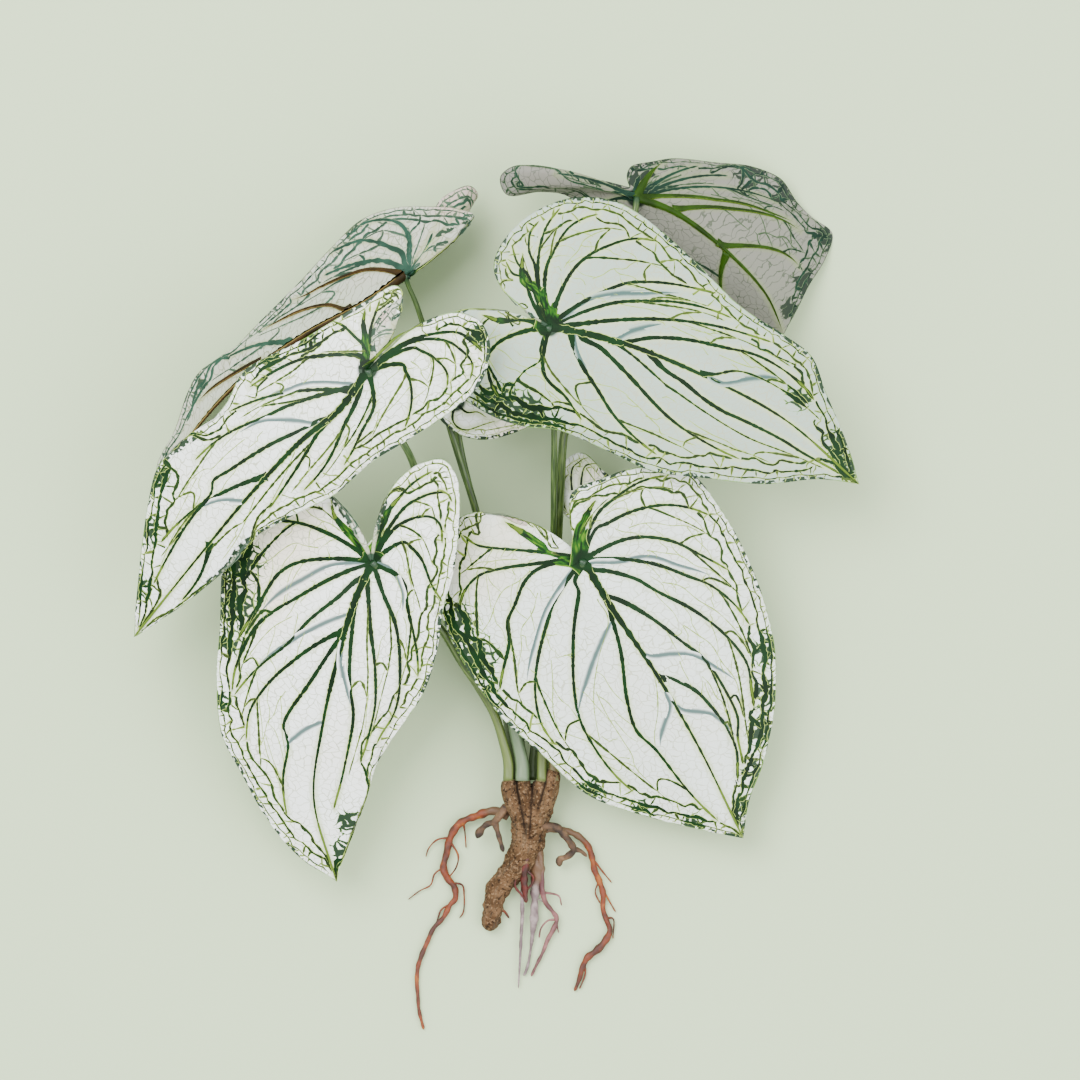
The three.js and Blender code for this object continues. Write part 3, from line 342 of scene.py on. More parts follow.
# the main veins: the half, the width at its start in mm (0 is a rib buried in the blade), then
# places along the margin, each with its share of the way out to it. These are not hand-made
# numbers: points picked by eye were thinned and turned into them by a script that isn't kept
# a width of 0 is drawn only as a band of painted shade on the upper face over the rib
veins = {
    "lower_right": [
        [-1, 12, 6.2, 0, 6.2, .14, 5.4, .29, 4.7, .48, 4.3, .64],
        [1, 11, 4.6, 0, 4.7, .2, 5.3, .44, 5.6, .65],
        [1, 2.2, 6.46, 0, 6.46, .22, 6.59, .41, 7.12, .56, 7.44, .74, 7.84, .86],
        [1, 2.2, 7.23, 0, 7.23, .2, 8.15, .31, 8.48, .51, 8.64, .67, 8.8, .8, 8.95, .89],
        [1, 2.2, 9.38, 0, 9.38, .24, 9.73, .49, 10.11, .66, 10.21, .79],
        [1, 2.2, 10.8, 0, 10.93, .3, 11.03, .47, 10.98, .6, 11.08, .74, 11.25, .82],
        [1, 2.2, 11.66, 0, 11.66, .05, 11.82, .17, 12.04, .29, 12.05, .43, 12.07, .66, 12.13, .76,
         12.47, .81],
        [1, 2.2, 12.57, 0, 12.61, .06, 12.8, .18, 12.98, .32, 12.99, .46, 13.16, .6, 13.3, .7,
         13.7, .72],
        [1, 2.2, 13.96, 0, 13.79, .3, 13.82, .41, 13.91, .68, 14.42, .67],
        [-1, 2.2, 5.93, 0, 5.93, .27, 5.48, .67, 4.84, .88],
        [-1, 2.2, 6.99, 0, 6.99, .26, 6.74, .46, 6.54, .67, 6.74, .79, 7.03, .85],
        [-1, 2.2, 7.32, 0, 7.32, .21, 8.37, .48, 8.52, .56, 8.98, .65, 9.03, .87],
        [-1, 2.2, 9.97, 0, 9.97, .22, 10.16, .36, 10.15, .67, 10.24, .79, 10.59, .84],
        [-1, 2.2, 10.55, 0, 10.55, .06, 11.33, .12, 11.54, .3, 11.58, .59, 11.68, .67, 11.9, .8],
        [-1, 2.2, 12.04, 0, 12.71, .04, 12.88, .13, 12.94, .3, 12.99, .42, 13.3, .46, 13.54, .62],
        [-1, .8, 12.03, .04, 12.58, .07, 12.33, .25, 12.09, .44, 11.94, .64],
        [-1, .8, 13.24, 0, 13.31, .03, 13.35, .16, 13.27, .42],
        [-1, 0, 9.63, 0, 9.63, .25, 9.83, .46, 9.83, .67],
        [-1, 0, 12.69, .04, 12.06, .32, 11.53, .58],
        [1, 0, 11.12, 0, 11.12, .11, 10.55, .32, 10.72, .46, 10.66, .63],
        [1, 0, 13.63, 0, 13.61, .05, 13.14, .36, 12.72, .68],
        [1, 0, 14.21, 0, 14.21, .08, 13.72, .68],
        [-1, 0, 13.39, .02, 13.44, .04, 13.34, .38],
    ],
    "lower_left": [
        [-1, 8, 5, 0, 5.1, .2, 4.9, .38, 4.3, .57],
        [1, 8, 4.9, 0, 4.9, .23, 4.6, .45, 5, .59],
        [-1, 2.2, 5.94, 0, 5.94, .36, 5.93, .54, 5.97, .67, 6.16, .78, 6.63, .88],
        [-1, 2.2, 7.74, 0, 7.74, .43, 7.89, .54, 8.62, .69],
        [-1, 2.2, 9.2, 0, 9.29, .19, 9.3, .35, 9.03, .62, 9.38, .79, 9.77, .84],
        [-1, 2.2, 9.95, 0, 9.95, .03, 10.18, .12, 10.28, .25, 10.4, .38, 10.23, .57, 9.94, .82],
        [-1, 2.2, 11.08, 0, 10.95, .13, 10.83, .31, 10.67, .6, 10.63, .73],
        [-1, 2.2, 11.27, 0, 12, .23, 11.99, .45, 12.46, .47, 12.53, .62],
        [1, 2.2, 4.7, 0, 4.7, .38, 4.87, .54, 4.96, .7, 5.19, .87],
        [1, 2.2, 5.8, 0, 5.8, .31, 5.73, .5, 5.96, .7, 6.23, .88, 6.53, .93],
        [1, 2.2, 6.23, 0, 6.23, .31, 6.41, .47, 6.76, .72, 7.08, .81, 7.57, .83],
        [1, 2.2, 7.28, 0, 7.28, .36, 7.71, .48, 8.1, .58, 8.76, .78, 8.85, .95],
        [1, 2.2, 9.49, 0, 9.49, .27, 11.17, .46, 11.27, .8],
        [1, 2.2, 12, 0, 12.42, .15, 12.28, .31, 12.39, .54, 12.39, .7, 13.93, .6],
        [1, 2.2, 13.05, .01, 13.57, .17, 13.74, .28, 13.99, .4, 14.47, .47],
        [1, 2.2, 13.62, 0, 14.17, .07, 14.39, .14, 14.45, .24, 14.59, .3, 14.81, .35],
        [-1, 1.5, 5.02, 0, 5.02, .35, 4.81, .59],
        [-1, 1.5, 5.14, 0, 5.14, .22, 3.92, .67],
        [-1, 0, 8.24, 0, 8.24, .21, 8.54, .37, 8.61, .51, 8.77, .64],
        [-1, 0, 10.65, 0, 10.56, .15, 10.47, .3, 10.15, .6],
        [-1, 0, 12.94, 0, 12.62, .26, 12.35, .5],
        [1, 0, 8.86, 0, 8.86, .12, 10.33, .28, 11.38, .34],
        [1, 0, 14.17, 0, 14.39, .05, 14.44, .18],
    ],
    "middle_left": [
        [1, 8, 2.3, 0, 2.3, .45, 2.6, .73, 3.2, .83],
        [-1, 6, 6.4, 0, 6.5, .27, 6.3, .68, 6, .9],
        [-1, 2.2, 6.15, 0, 6.15, .44, 5.57, .91],
        [-1, 2.2, 6.52, 0, 6.52, .27, 6.92, .56, 6.97, .85, 7.04, 1],
        [-1, 2.2, 7.11, 0, 7.11, .14, 9.98, .38, 10.31, .49, 10.99, .81],
        [-1, 2.2, 12.15, .01, 12.67, .08, 13.38, .26, 13.71, .36, 13.86, .53, 14.14, .67],
        [-1, 2.2, 13.97, 0, 14.05, .03, 14.48, .09, 15.05, .31, 15.11, .39, 15.49, .36],
        [-1, 2.2, 15.35, 0, 15.45, .17, 15.58, .37, 15.74, .42, 16.27, .52],
        [1, 2.2, 5.06, 0, 5.06, .38, 5.26, .58, 5.42, .75, 5.82, .85, 6.19, .94],
        [1, 2.2, 5.24, 0, 5.24, .31, 5.44, .47, 5.8, .63, 6.23, .76, 6.56, .87, 7.07, .91],
        [1, 2.2, 5.88, 0, 5.88, .34, 6.31, .45, 6.75, .58, 7.15, .7, 7.62, .79],
        [1, 2.2, 7.04, 0, 7.04, .25, 7.7, .36, 8.29, .51, 8.7, .68, 9.03, .84],
        [1, 2.2, 10.54, 0, 10.54, .26, 11.25, .41, 11.57, .61],
        [1, 2.2, 11.25, 0, 11.25, .03, 11.79, .12, 12.12, .19, 12.41, .42, 12.71, .55],
        [1, 2.2, 11.86, .02, 12.06, 0, 12.86, .05, 13.09, .14, 13.49, .29],
        [1, .8, 13.34, .04, 13.69, .29, 13.91, .4],
        [1, .8, 14.1, .07, 14.39, .34, 14.6, .45],
        [-1, 0, 11.9, 0, 11.9, .27, 12.42, .36, 12.93, .43],
        [-1, 0, 14.17, 0, 13.98, .21, 13.84, .34, 14.01, .43],
        [-1, 0, 15.72, 0, 15.63, .21, 15.6, .36],
    ],
    "upper_right": [
        [1, 9, 6.4, 0, 6.3, .1, 6.1, .16, 5.3, .33, 4.7, .48],
        [-1, 8, 4.2, 0, 4.2, .19, 4.4, .38, 3.7, .62],
        [1, 2.2, 4.64, 0, 4.64, .16, 4.78, .43, 4.2, .65, 4.06, .8],
        [1, 2.2, 5.21, 0, 5.21, .16, 5.14, .4, 4.58, .67, 4.44, .86],
        [1, 2.2, 5.62, 0, 5.62, .17, 5.54, .45, 5.18, .67, 5.15, .81, 5.38, .88],
        [1, 2.2, 5.65, 0, 5.65, .51, 5.71, .78, 5.89, .92],
        [1, 2.2, 6.14, 0, 6.14, .41, 6.32, .55, 6.48, .72, 6.69, .8, 6.96, .86],
        [1, 2.2, 7.58, 0, 7.58, .38, 7.73, .54, 7.93, .67, 8.12, .82, 8.36, .91],
        [1, 2.2, 9.42, 0, 9.42, .36, 9.41, .5, 9.53, .6, 9.77, .83, 9.8, .92],
        [1, 2.2, 10.52, 0, 10.52, .18, 10.53, .3, 10.72, .39, 10.99, .58, 11.77, .67],
        [1, 2.2, 11.19, .01, 11.76, .08, 12.25, .23, 12.48, .43, 12.5, .66, 12.41, .78],
        [1, 2.2, 13.04, 0, 13.25, .02, 13.21, .13, 13.25, .22, 13.38, .42, 13.28, .63, 13.45, .8,
         13.73, .83],
        [1, 1.5, 14.09, .02, 14.13, .07, 14, .31, 14.15, .51],
        [-1, 2.2, 5.99, 0, 5.99, .36, 6.22, .5, 6.8, .64, 7.38, .74, 7.92, .81],
        [-1, 2.2, 10.11, 0, 10.11, .38, 11.19, .51, 11.32, .65],
        [-1, 1.5, 9.62, 0, 9.62, .19, 9.91, .29, 8.81, .49, 8.37, .72],
        [-1, 2.2, 12.64, 0, 12.64, .12, 12.8, .32, 12.79, .46, 12.84, .77],
        [-1, 2.2, 12.93, 0, 12.93, .02, 13.36, .06, 14.05, .22, 14.33, .44, 14.47, .53],
        [-1, 2.2, 15.02, 0, 15.08, .07, 15.19, .11, 15.28, .18, 15.39, .23, 15.51, .25, 15.65,
         .32, 15.74, .42],
        [-1, 1.5, 13.82, 0, 14.57, .07, 15.02, .18, 15.19, .29, 15.39, .42, 15.57, .49],
        [1, 0, 9.59, 0, 9.59, .1, 9.54, .25, 9.74, .37, 10.09, .53, 10.09, .67],
        [1, 0, 13.12, 0, 12.64, .28],
        [1, 0, 14.13, .03, 14.27, .03, 14.16, .25, 13.77, .63],
        [-1, 0, 12.71, 0, 12.71, .24],
    ],
    "upper_left": [
        [-1, 2.8, 10.27, 0, 10.27, .29, 10.59, .43, 11.09, .64, 10.99, .78],
        [-1, 2.8, 11.67, .05, 11.76, .05, 11.68, .24, 11.69, .36, 11.76, .48, 12.09, .67],
        [-1, 2.8, 13.47, .05, 13.98, .24, 14.34, .45],
        [-1, 1.9, 8.38, 0, 10.03, .6, 10.23, .7],
        [-1, 1.9, 7.45, 0, 7.45, .21, 8.17, .39, 8.43, .56, 8.63, .74, 9.13, .94],
        [-1, 1.9, 6.82, 0, 6.82, .37, 6.91, .53, 7.11, .69, 7.44, .8, 8.2, .94],
        [-1, 1.5, 6.95, 0, 6.95, .25, 6.81, .53, 6.44, .73, 6.41, .84, 6.6, .95],
    ],
    "top_right": [
        [1, 2.8, 8.7, 0, 9.63, .37, 10.09, .55],
        [1, 2.8, 9.37, .01, 9.75, .2, 9.99, .32, 10.33, .63],
        [1, 2.8, 10.98, 0, 11.18, .03, 11.3, .19, 11.45, .6],
        [-1, 2.8, 12.11, 0, 12.2, .28],
        [1, 2.8, 3.82, 0, 3.82, .84],
    ],
    "small_centre": [
        [-1, 2.2, 4.3, 0, 4.55, .25, 5, .29],
        [-1, 2.2, 2.83, 0, 2.83, .65, 5.38, .57],
    ],
    "small_right": [
        [1, 2.2, 4.16, .57, 4.4, .81, 4.87, .88, 5.26, .97],
        [1, 2.2, 5.08, .59, 5.18, .82, 5.4, .92, 5.62, 1],
        [1, .8, 5.55, .95, 5.76, .79],
        [1, 2.2, 3.01, .76, 2.6, .56],
    ],
}
# soft round spots on each blade, as half, place, share and radius in mm: where it is dark green,
# and where its skin is creamier. The places come from the same script as the veins', which isn't
# kept, and the sizes were set by hand
spots = {
    "lower_right": {
        "blotch": [(-1, 7.3, 0.93, 13), (-1, 8.1, 0.96, 16), (-1, 8.7, 1, 8), (1, 11.3, 0.95, 9),
                   (1, 12.1, 0.94, 9), (1, 12.7, 0.94, 9), (1, 13.5, 0.97, 9), (1, 14.2, 1, 8),
                   (-1, 11.1, 0.96, 6), (-1, 12, 0.96, 6), (-1, 13, 0.96, 6)],
        "warm": [(-1, 5.9, 0.68, 26), (-1, 4.7, 0.56, 14)],
    },
    "lower_left": {
        "blotch": [(-1, 7.1, 0.87, 13), (-1, 8, 0.89, 13), (-1, 8.6, 0.9, 8), (1, 14.7, 0.67, 7),
                   (1, 14.8, 0.81, 7), (-1, 9.5, 0.95, 5)],
        "warm": [(-1, 6.9, 0.65, 30), (-1, 6.2, 0.53, 20), (-1, 8.3, 0.7, 20)],
    },
    "middle_left": {
        "blotch": [(-1, 13.4, 1, 9), (-1, 14.7, 0.99, 9), (-1, 16, 0.98, 7), (-1, 7.9, 1, 7),
                   (-1, 9.1, 1, 7), (1, 5.6, 0.92, 6)],
        "warm": [(-1, 5.7, 0.75, 8)],
    },
    "upper_right": {
        "blotch": [(-1, 8, 0.87, 12), (-1, 9.1, 0.86, 12), (-1, 9.8, 0.96, 8), (1, 14.1, 0.62, 7),
                   (1, 14.6, 0.7, 8), (1, 14.8, 0.76, 7)],
        "warm": [(1, 3.2, 0.71, 18), (1, 3.5, 0.85, 10)],
    },
    "upper_left": {
        "blotch": [(-1, 8.3, 1, 6), (-1, 13.9, 0.8, 6)],
        "warm": [(1, 4.4, 0.8, 14), (1, 5.3, 0.92, 12)],
    },
    "top_right": {
        "blotch": [(1, 7, 0.8, 10), (1, 7.6, 0.97, 10), (1, 10.3, 0.95, 8), (1, 11.9, 0.92, 8),
                   (1, 13, 0.79, 7), (1, 2.8, 0.53, 8)],
        "warm": [(-1, 5.2, 0.27, 16), (-1, 5.4, 0.71, 14)],
    },
    "small_centre": {
        "blotch": [],
        "warm": [(-1, 5.7, 0.86, 14)],
    },
    "small_right": {
        "blotch": [],
        "warm": [(1, 5.5, 0.79, 8)],
    },
}

blade = {
    "thickness": 0.7,          # mm
    "puff": 0.65,              # how far the skin swells between its veins
    "puffReach": 4.5,          # mm from a vein to most of that
    "dents": (0.25, 17),       # slow unevenness of the skin: how deep and how long
    "ripple": 0.7,             # the wave along the margin, mm
    "rippleLength": 27,
    "linesApart": 1.6,         # mm along the margin
    "rows": 46, "rowsSmall": 26,
    "midrib": (4.3, 1.1),      # its width at the stalk and at the tip
    "smallMidrib": (2.0, 1.1),
    "hub": 5.5,                # mm, the dark web round the stalk
    # how far each blade's skin leans from white to its duller colour: partly the blade's own tone,
    # partly painted shade
    "dullAndShade": {"lower_right": 0.3, "middle_left": 0.1, "upper_right": 0.9, "upper_left": 0.15,
             "top_right": 0.95, "lower_left": 0.0, "small_centre": 0.0, "small_right": 0.1},
}


def arcLength(points):
    # mm travelled at each point of a line: the running sum of its steps
    return np.concatenate([[0], np.cumsum(np.linalg.norm(np.diff(points, axis=0), axis=1))])


def distanceTo(points, targets):
    # how far each point is from the nearest of the targets, worked in blocks
    nearest = np.empty(len(points))
    for i in range(0, len(points), 2000):
        block = points[i:i + 2000]
        squares = ((block ** 2).sum(1)[:, None] + (targets ** 2).sum(1)[None]
                   - 2 * block @ targets.T)
        nearest[i:i + 2000] = np.sqrt(np.maximum(squares.min(axis=1), 0))
    return nearest


def linePlaces(halves):
    # where the lines of the two halves meet the margin: evenly apart along it, and from the
    # midrib on both halves start at the same points
    fan, shared = {}, 0
    starts = halves[1]["starts"]
    along = np.linspace(0, starts[-1], 800)
    for side, half in halves.items():
        count = sum(1 for s in half["starts"] if s == 0)
        dense = np.linspace(0, half["ends"][count - 1], 800)
        arc = arcLength(splineAt(half["edge"], dense))
        lines = int(arc[-1] / blade["linesApart"])
        fan[side] = np.interp(np.linspace(0, arc[-1], lines), arc, dense)
        half["fanCount"] = count - 1
        half["placeAlong"] = np.interp(along, half["starts"][count - 1:], half["ends"][count - 1:])
        shared = shared + arcLength(splineAt(half["edge"], half["placeAlong"])) / 2
    lines = int(shared[-1] / blade["linesApart"])
    pick = np.interp(np.linspace(0, shared[-1], lines)[1:], shared, along)
    return {side: np.concatenate([fan[side], np.interp(pick, along, half["placeAlong"])])
            for side, half in halves.items()}, len(pick)


def insideAt(half, along, depth):
    # the place and share of points this many mm along the margin and this many mm in from it:
    # the nearest point of a fine grid over the half, and one straight step from there
    if "grid" not in half:
        dense = np.linspace(0, half["ends"][-1], 600)
        rim = splineAt(half["edge"], dense)
        half["rim"] = (dense, rim, arcLength(rim))
        place, share = np.meshgrid(np.linspace(0, half["ends"][-1], 301),
                                   np.linspace(0.15, 1, 80), indexing="ij")
        place, share = place.ravel(), share.ravel()
        half["grid"] = (place, share, skinAt(half, place, share))
        # which way is in, from the middle of the margin
        at = np.array([half["ends"][-1] * 0.7])
        ahead = splineAt(half["edge"], at + 0.05) - splineAt(half["edge"], at - 0.05)
        way = np.cross(facingAt(half, at, np.ones(1)), ahead)
        half["turn"] = float(np.sign((way * (skinAt(half, at, np.full(1, 0.9)) - rim[420])).sum()))
    dense, rim, arc = half["rim"]
    along, depth = np.atleast_1d(along).astype(float), np.atleast_1d(depth).astype(float)
    at = np.interp(along, arc, dense)
    start = splineAt(rim, np.interp(along, arc, np.arange(600)))
    ahead = unit(splineAt(rim, np.interp(along + 1, arc, np.arange(600)))
                 - splineAt(rim, np.interp(along - 1, arc, np.arange(600))))
    inward = unit(np.cross(facingAt(half, at, np.ones(len(at))), ahead))
    wanted = start + inward * depth[:, None] * half["turn"]
    places, shares, points = half["grid"]
    pick = ((points ** 2).sum(1)[None] - 2 * wanted @ points.T).argmin(axis=1)
    place, share = places[pick], shares[pick]
    here = skinAt(half, place, share)
    byPlace = (skinAt(half, place + 0.01, share) - here) / 0.01
    byShare = (here - skinAt(half, place, share - 0.01)) / 0.01
    a, b, c = (byPlace ** 2).sum(1), (byPlace * byShare).sum(1), (byShare ** 2).sum(1)
    d, e = (byPlace * (wanted - here)).sum(1), (byShare * (wanted - here)).sum(1)
    size = np.maximum(a * c - b * b, 1e-6)
    place = place + np.clip((c * d - b * e) / size, -0.06, 0.06)
    share = share + np.clip((a * e - b * d) / size, -0.012, 0.012)
    return np.clip(place, 0, half["ends"][-1]), np.clip(share, 0.05, 0.99)


def atDepth(half, place, depth):
    # the share of each line at which the skin is this many mm from the nearest of the margin
    if "depths" not in half:
        shares = np.linspace(1, 0.2, 41)
        places = np.linspace(0, half["ends"][-1], 121)
        grid, share = np.meshgrid(places, shares, indexing="ij")
        margin = splineAt(half["edge"], np.linspace(0, half["ends"][-1], 500))
        far = distanceTo(skinAt(half, grid, share).reshape(-1, 3), margin).reshape(grid.shape)
        half["depths"] = (places, shares, np.maximum.accumulate(far, axis=1))
    places, shares, far = half["depths"]
    place, depth = np.broadcast_arrays(np.asarray(place, float), np.asarray(depth, float))
    found = []
    for at, wanted in zip(place.ravel(), depth.ravel()):
        i = min(int(at / places[1]), len(places) - 2)
        part = at / places[1] - i
        row = far[i] * (1 - part) + far[i + 1] * part
        found.append(np.interp(wanted, row + np.arange(41) * 1e-6, shares))
    return np.array(found).reshape(place.shape)


def courseOf(half, places, shares, step):
    # points, square-on directions and mm travelled of a vein, evenly apart along its curve
    knots = np.column_stack([places, shares])
    dense = splineAt(knots, np.linspace(0, len(knots) - 1, 24 * len(knots)))
    dense[:, 1] = np.clip(dense[:, 1], 0, 0.995)
    dense[:, 0] = np.clip(dense[:, 0], 0, half["ends"][-1])
    arc = arcLength(skinAt(half, dense[:, 0], dense[:, 1]))
    count = max(3, int(arc[-1] / step) + 1)
    even = np.linspace(0, arc[-1], count)
    place = np.interp(even, arc, dense[:, 0])
    share = np.interp(even, arc, dense[:, 1])
    return skinAt(half, place, share), facingAt(half, place, share), even


def reliefOf(name, halves, plan):
    # how the skin rises and falls at any of its points: a swelling between the ribs, a slight
    # wave along the margin, and the distances that both come from
    ribs = [splineAt(halves[1]["midrib"], np.linspace(0, halves[1]["starts"][-1], 150))]
    for side, places, shares, wide, *_ in plan:
        if side and wide > 1.6:
            ribs.append(courseOf(halves[side], places, shares, 1.2)[0])
    ribs = np.vstack(ribs)
    margin = np.vstack([splineAt(half["edge"], np.linspace(0, half["ends"][-1], 500))
                        for half in halves.values()])

    def relief(points):
        toMargin, toRib = distanceTo(points, margin), distanceTo(points, ribs)
        rim = np.clip(toMargin / 7, 0, 1)
        swell = blade["puff"] * (1 - np.exp(-(toRib / blade["puffReach"]) ** 2)) * rim
        deep, long = blade["dents"]
        swell = swell + deep * wander(points, long, 3) * rim * np.clip(toRib / 3, 0, 1)
        wave = blade["ripple"] * np.exp(-toMargin / 9) * wander(points, blade["rippleLength"], 11)
        wave = wave * np.clip(toRib / 6, 0, 1)
        return toMargin, toRib, -blades[name]["under"] * swell + wave, 0.5 + 0.5 * rim
    return relief


def facesAt(name, flat, up, height, thick):
    # the upper and lower face above and below points of the skin, neither under the floor
    thick = (blade["thickness"] * thick)[:, None]
    base = flat + up * height[:, None]
    top, bottom = (base, base - up * thick) if blades[name]["under"] < 0 else (base + up * thick,
                                                                               base.copy())
    top[:, 2], bottom[:, 2] = np.maximum(top[:, 2], 0.5), np.maximum(bottom[:, 2], 0.02)
    return top, bottom


def roomAt(half, place):
    # mm from the midrib straight to the margin at a place
    return float(np.linalg.norm(skinAt(half, np.array(place), np.array(1.0))
                                - skinAt(half, np.array(place), np.array(0.0))))


network = {
    # mm in from the margin: where main veins stop, spare ones stop, and arches meet
    "stop": 11.2, "spare": 12.0, "meet": 14.5,
    "roomy": 24,                   # mm from midrib to margin, less than this has no arches
    "forked": 9,                   # mm between two veins, closer ones don't fork
    # loops, outermost last: mm in from the margin, the room they need, mm between joints, width,
    # and how yellow they are
    "loops": ((11.5, 30, 8.0, 1.4, 0.05), (6.4, 18, 5.6, 1.25, 0.1), (2.7, 9, 3.9, 1.0, 0.25)),
    # blades whose veins are slenderer or stouter than the rest: the main ones, the fine ones
    "slender": {"top_right": (0.85, 1.8), "upper_left": (1.3, 0.85), "small_centre": (0.5, 0.6),
                "small_right": (0.55, 0.6)},
    # the links outward from each: width, and the least and most yellow
    "links": ((1.1, 0.1, 0.8), (1.2, 0.0, 0.6), (1.05, 0.0, 0.6)),
}


def veinPlan(name, halves):
    # every vein of a blade: its half, its places and shares, its width at both ends, and how
    # yellow it is. The listed ones come first. Each of them forks and meets its neighbours in
    # arches, two or three loops run inside the margin, and links cross between all of these
    rng = np.random.default_rng(len(name) * 7 + ord(name[-1]))
    small = len(blades[name]["pairs"]) < 3
    plan = []
    for side, half in halves.items():
        last = half["ends"][-1]
        mains = []
        for entry in veins[name]:
            if entry[0] == side:
                places, shares = np.array(entry[2::2], float), np.array(entry[3::2], float)
                if entry[1] == 0:
                    plan.append((side, places, shares, 0, 0, 0.0))
                elif entry[1] > 1.2:
                    mains.append([places, shares, entry[1]])
                else:
                    plan.append((side, places, shares, entry[1], 0.5, 0.7))
        covered = [np.interp(0.5, v[1], v[0]) for v in mains]
        for end in half["ends"][1:-1]:
            byNotch = end < 3.2 and not small and blades[name]["under"] < 0
            if not byNotch and (not covered or min(abs(end - c) for c in covered) > 1.2):
                covered.append(end)
                reach = max(float(atDepth(half, np.array(end), network["spare"])), 0.6)
                mains.append([end + np.array([0, 0.05, 0.1, 0.25]),
                              np.array([0, 0.3, 0.6, 1]) * reach, 1.1 if small else 2.0])
        mains.sort(key=lambda v: np.interp(0.55, v[1], v[0]))
        for main in mains:
            places, shares, wide = main
            reach = float(atDepth(half, np.array(places[-1]), network["stop"]))
            if shares[-1] < reach - 0.03:
                main[0] = np.append(places, min(places[-1] + 0.2, last - 0.1))
                main[1] = np.append(shares, reach)
            plan.append((side, main[0], main[1], wide, 1.0 if wide > 1.6 else 0.7, 0.0))
        # loops inside the margin, knotted where links leave them for the next loop out
        insideAt(half, 0, 0)
        arc = half["rim"][2]
        ribs = np.vstack([courseOf(half, main[0], main[1], 1.5)[0] for main in mains])
        tour = np.linspace(0, last, 120)
        room = np.array([roomAt(half, place) for place in tour])
        rooms = np.interp(half["rim"][0], tour, room)
        loops = []
        for depth, least, every, wide, yellow in network["loops"]:
            joints = np.arange(4 + rng.uniform(0, 3), arc[-1] - 2, every)
            joints = joints + rng.uniform(-0.34, 0.34, len(joints)) * every
            wideness = np.interp(joints, arc, rooms)
            deep = depth * np.clip(wideness / (least * 1.7), 0.55, 1)
            deep = deep * (1 + rng.uniform(-0.17, 0.17, len(joints)) * (1 if depth > 5 else 1.7))
            good = wideness > least
            loops.append((joints, deep, good))
            along = np.sort(np.concatenate([joints, (joints[1:] + joints[:-1]) / 2]))
            bulge = np.where(np.arange(len(along)) % 2, rng.uniform(-0.05, 0.1, len(along)), 0)
            places, shares = insideAt(half, along, np.interp(along, joints, deep) * (1 - bulge))
            near = distanceTo(skinAt(half, places, shares), ribs) < (1.7 if depth > 5 else 0.6)
            use = (np.interp(along, joints, good.astype(float)) > 0.99) & ~near
            cuts = np.flatnonzero(np.diff(use.astype(int))) + 1
            for run in np.split(np.arange(len(along)), cuts):
                if use[run[0]] and len(run) > 2:
                    # a run reaches one knot further at each end, onto the rib that cut it off
                    run = np.arange(max(run[0] - 1, 0), min(run[-1] + 2, len(along)))
                    plan.append((side, places[run], shares[run], wide, wide, yellow))
        outer = loops[1:] + [(np.array([0, arc[-1]]), np.array([0.3, 0.3]), None)]
        for (joints, deep, good), (nextJoints, nextDeep, _), (wide, low, high) in zip(
                loops, outer, network["links"]):
            for along, depth in zip(joints[good], deep[good]):
                if rng.random() < 0.22:
                    continue
                ends = along + rng.uniform(-0.5, 0.5) * depth
                reach = np.interp(ends, nextJoints, nextDeep)
                stops = along + (ends - along) * np.array([0, 0.4, 1])
                depths = depth + (reach - depth) * np.array([0, 0.5, 1])
                places, shares = insideAt(half, stops, depths)
                plan.append((side, places, shares, wide * rng.uniform(0.75, 1.2), wide * 0.8,
                             rng.uniform(low, high)))
        # between each two neighbours
        for (placesA, sharesA, _), (placesB, sharesB, _) in zip(mains, mains[1:]):
            def between(part, share):
                # a point part of the way from one vein to the next, at this share of the way out
                a = np.interp(share, sharesA, placesA)
                return a + (np.interp(share, sharesB, placesB) - a) * part

            outer = np.array(between(0.5, 0.9))
            if roomAt(half, outer) < network["roomy"] or between(1, 0.8) - between(0, 0.8) < 0.2:
                continue
            meet = float(atDepth(half, outer, network["meet"] + rng.uniform(-1.5, 1.5)))
            # an arch: a fork from each side to one meeting place short of the loops
            middle = 0.5 + rng.uniform(-0.12, 0.12)
            gap = np.linalg.norm(skinAt(half, np.array(between(0, 0.7)), np.array(0.7))
                                 - skinAt(half, np.array(between(1, 0.7)), np.array(0.7)))
            if gap > network["forked"]:
                for at, to in ((0, middle), (1, middle)):
                    leave = meet - rng.uniform(0.1, 0.24)
                    shares = np.array([leave, leave + (meet - leave) * 0.45, meet])
                    parts = at + (to - at) * np.array([0, 0.62, 1])
                    places = np.array([between(p, s) for p, s in zip(parts, shares)])
                    plan.append((side, places, shares, 1.45, 1.0, rng.uniform(0, 0.2)))
                ends = np.array([between(middle, meet), between(middle, 0.98)])
                shares = np.array([meet, float(atDepth(half, ends[1], network["stop"]))])
                if shares[1] > shares[0] + 0.01:
                    plan.append((side, ends, shares, 1.0, 0.9, 0.1))
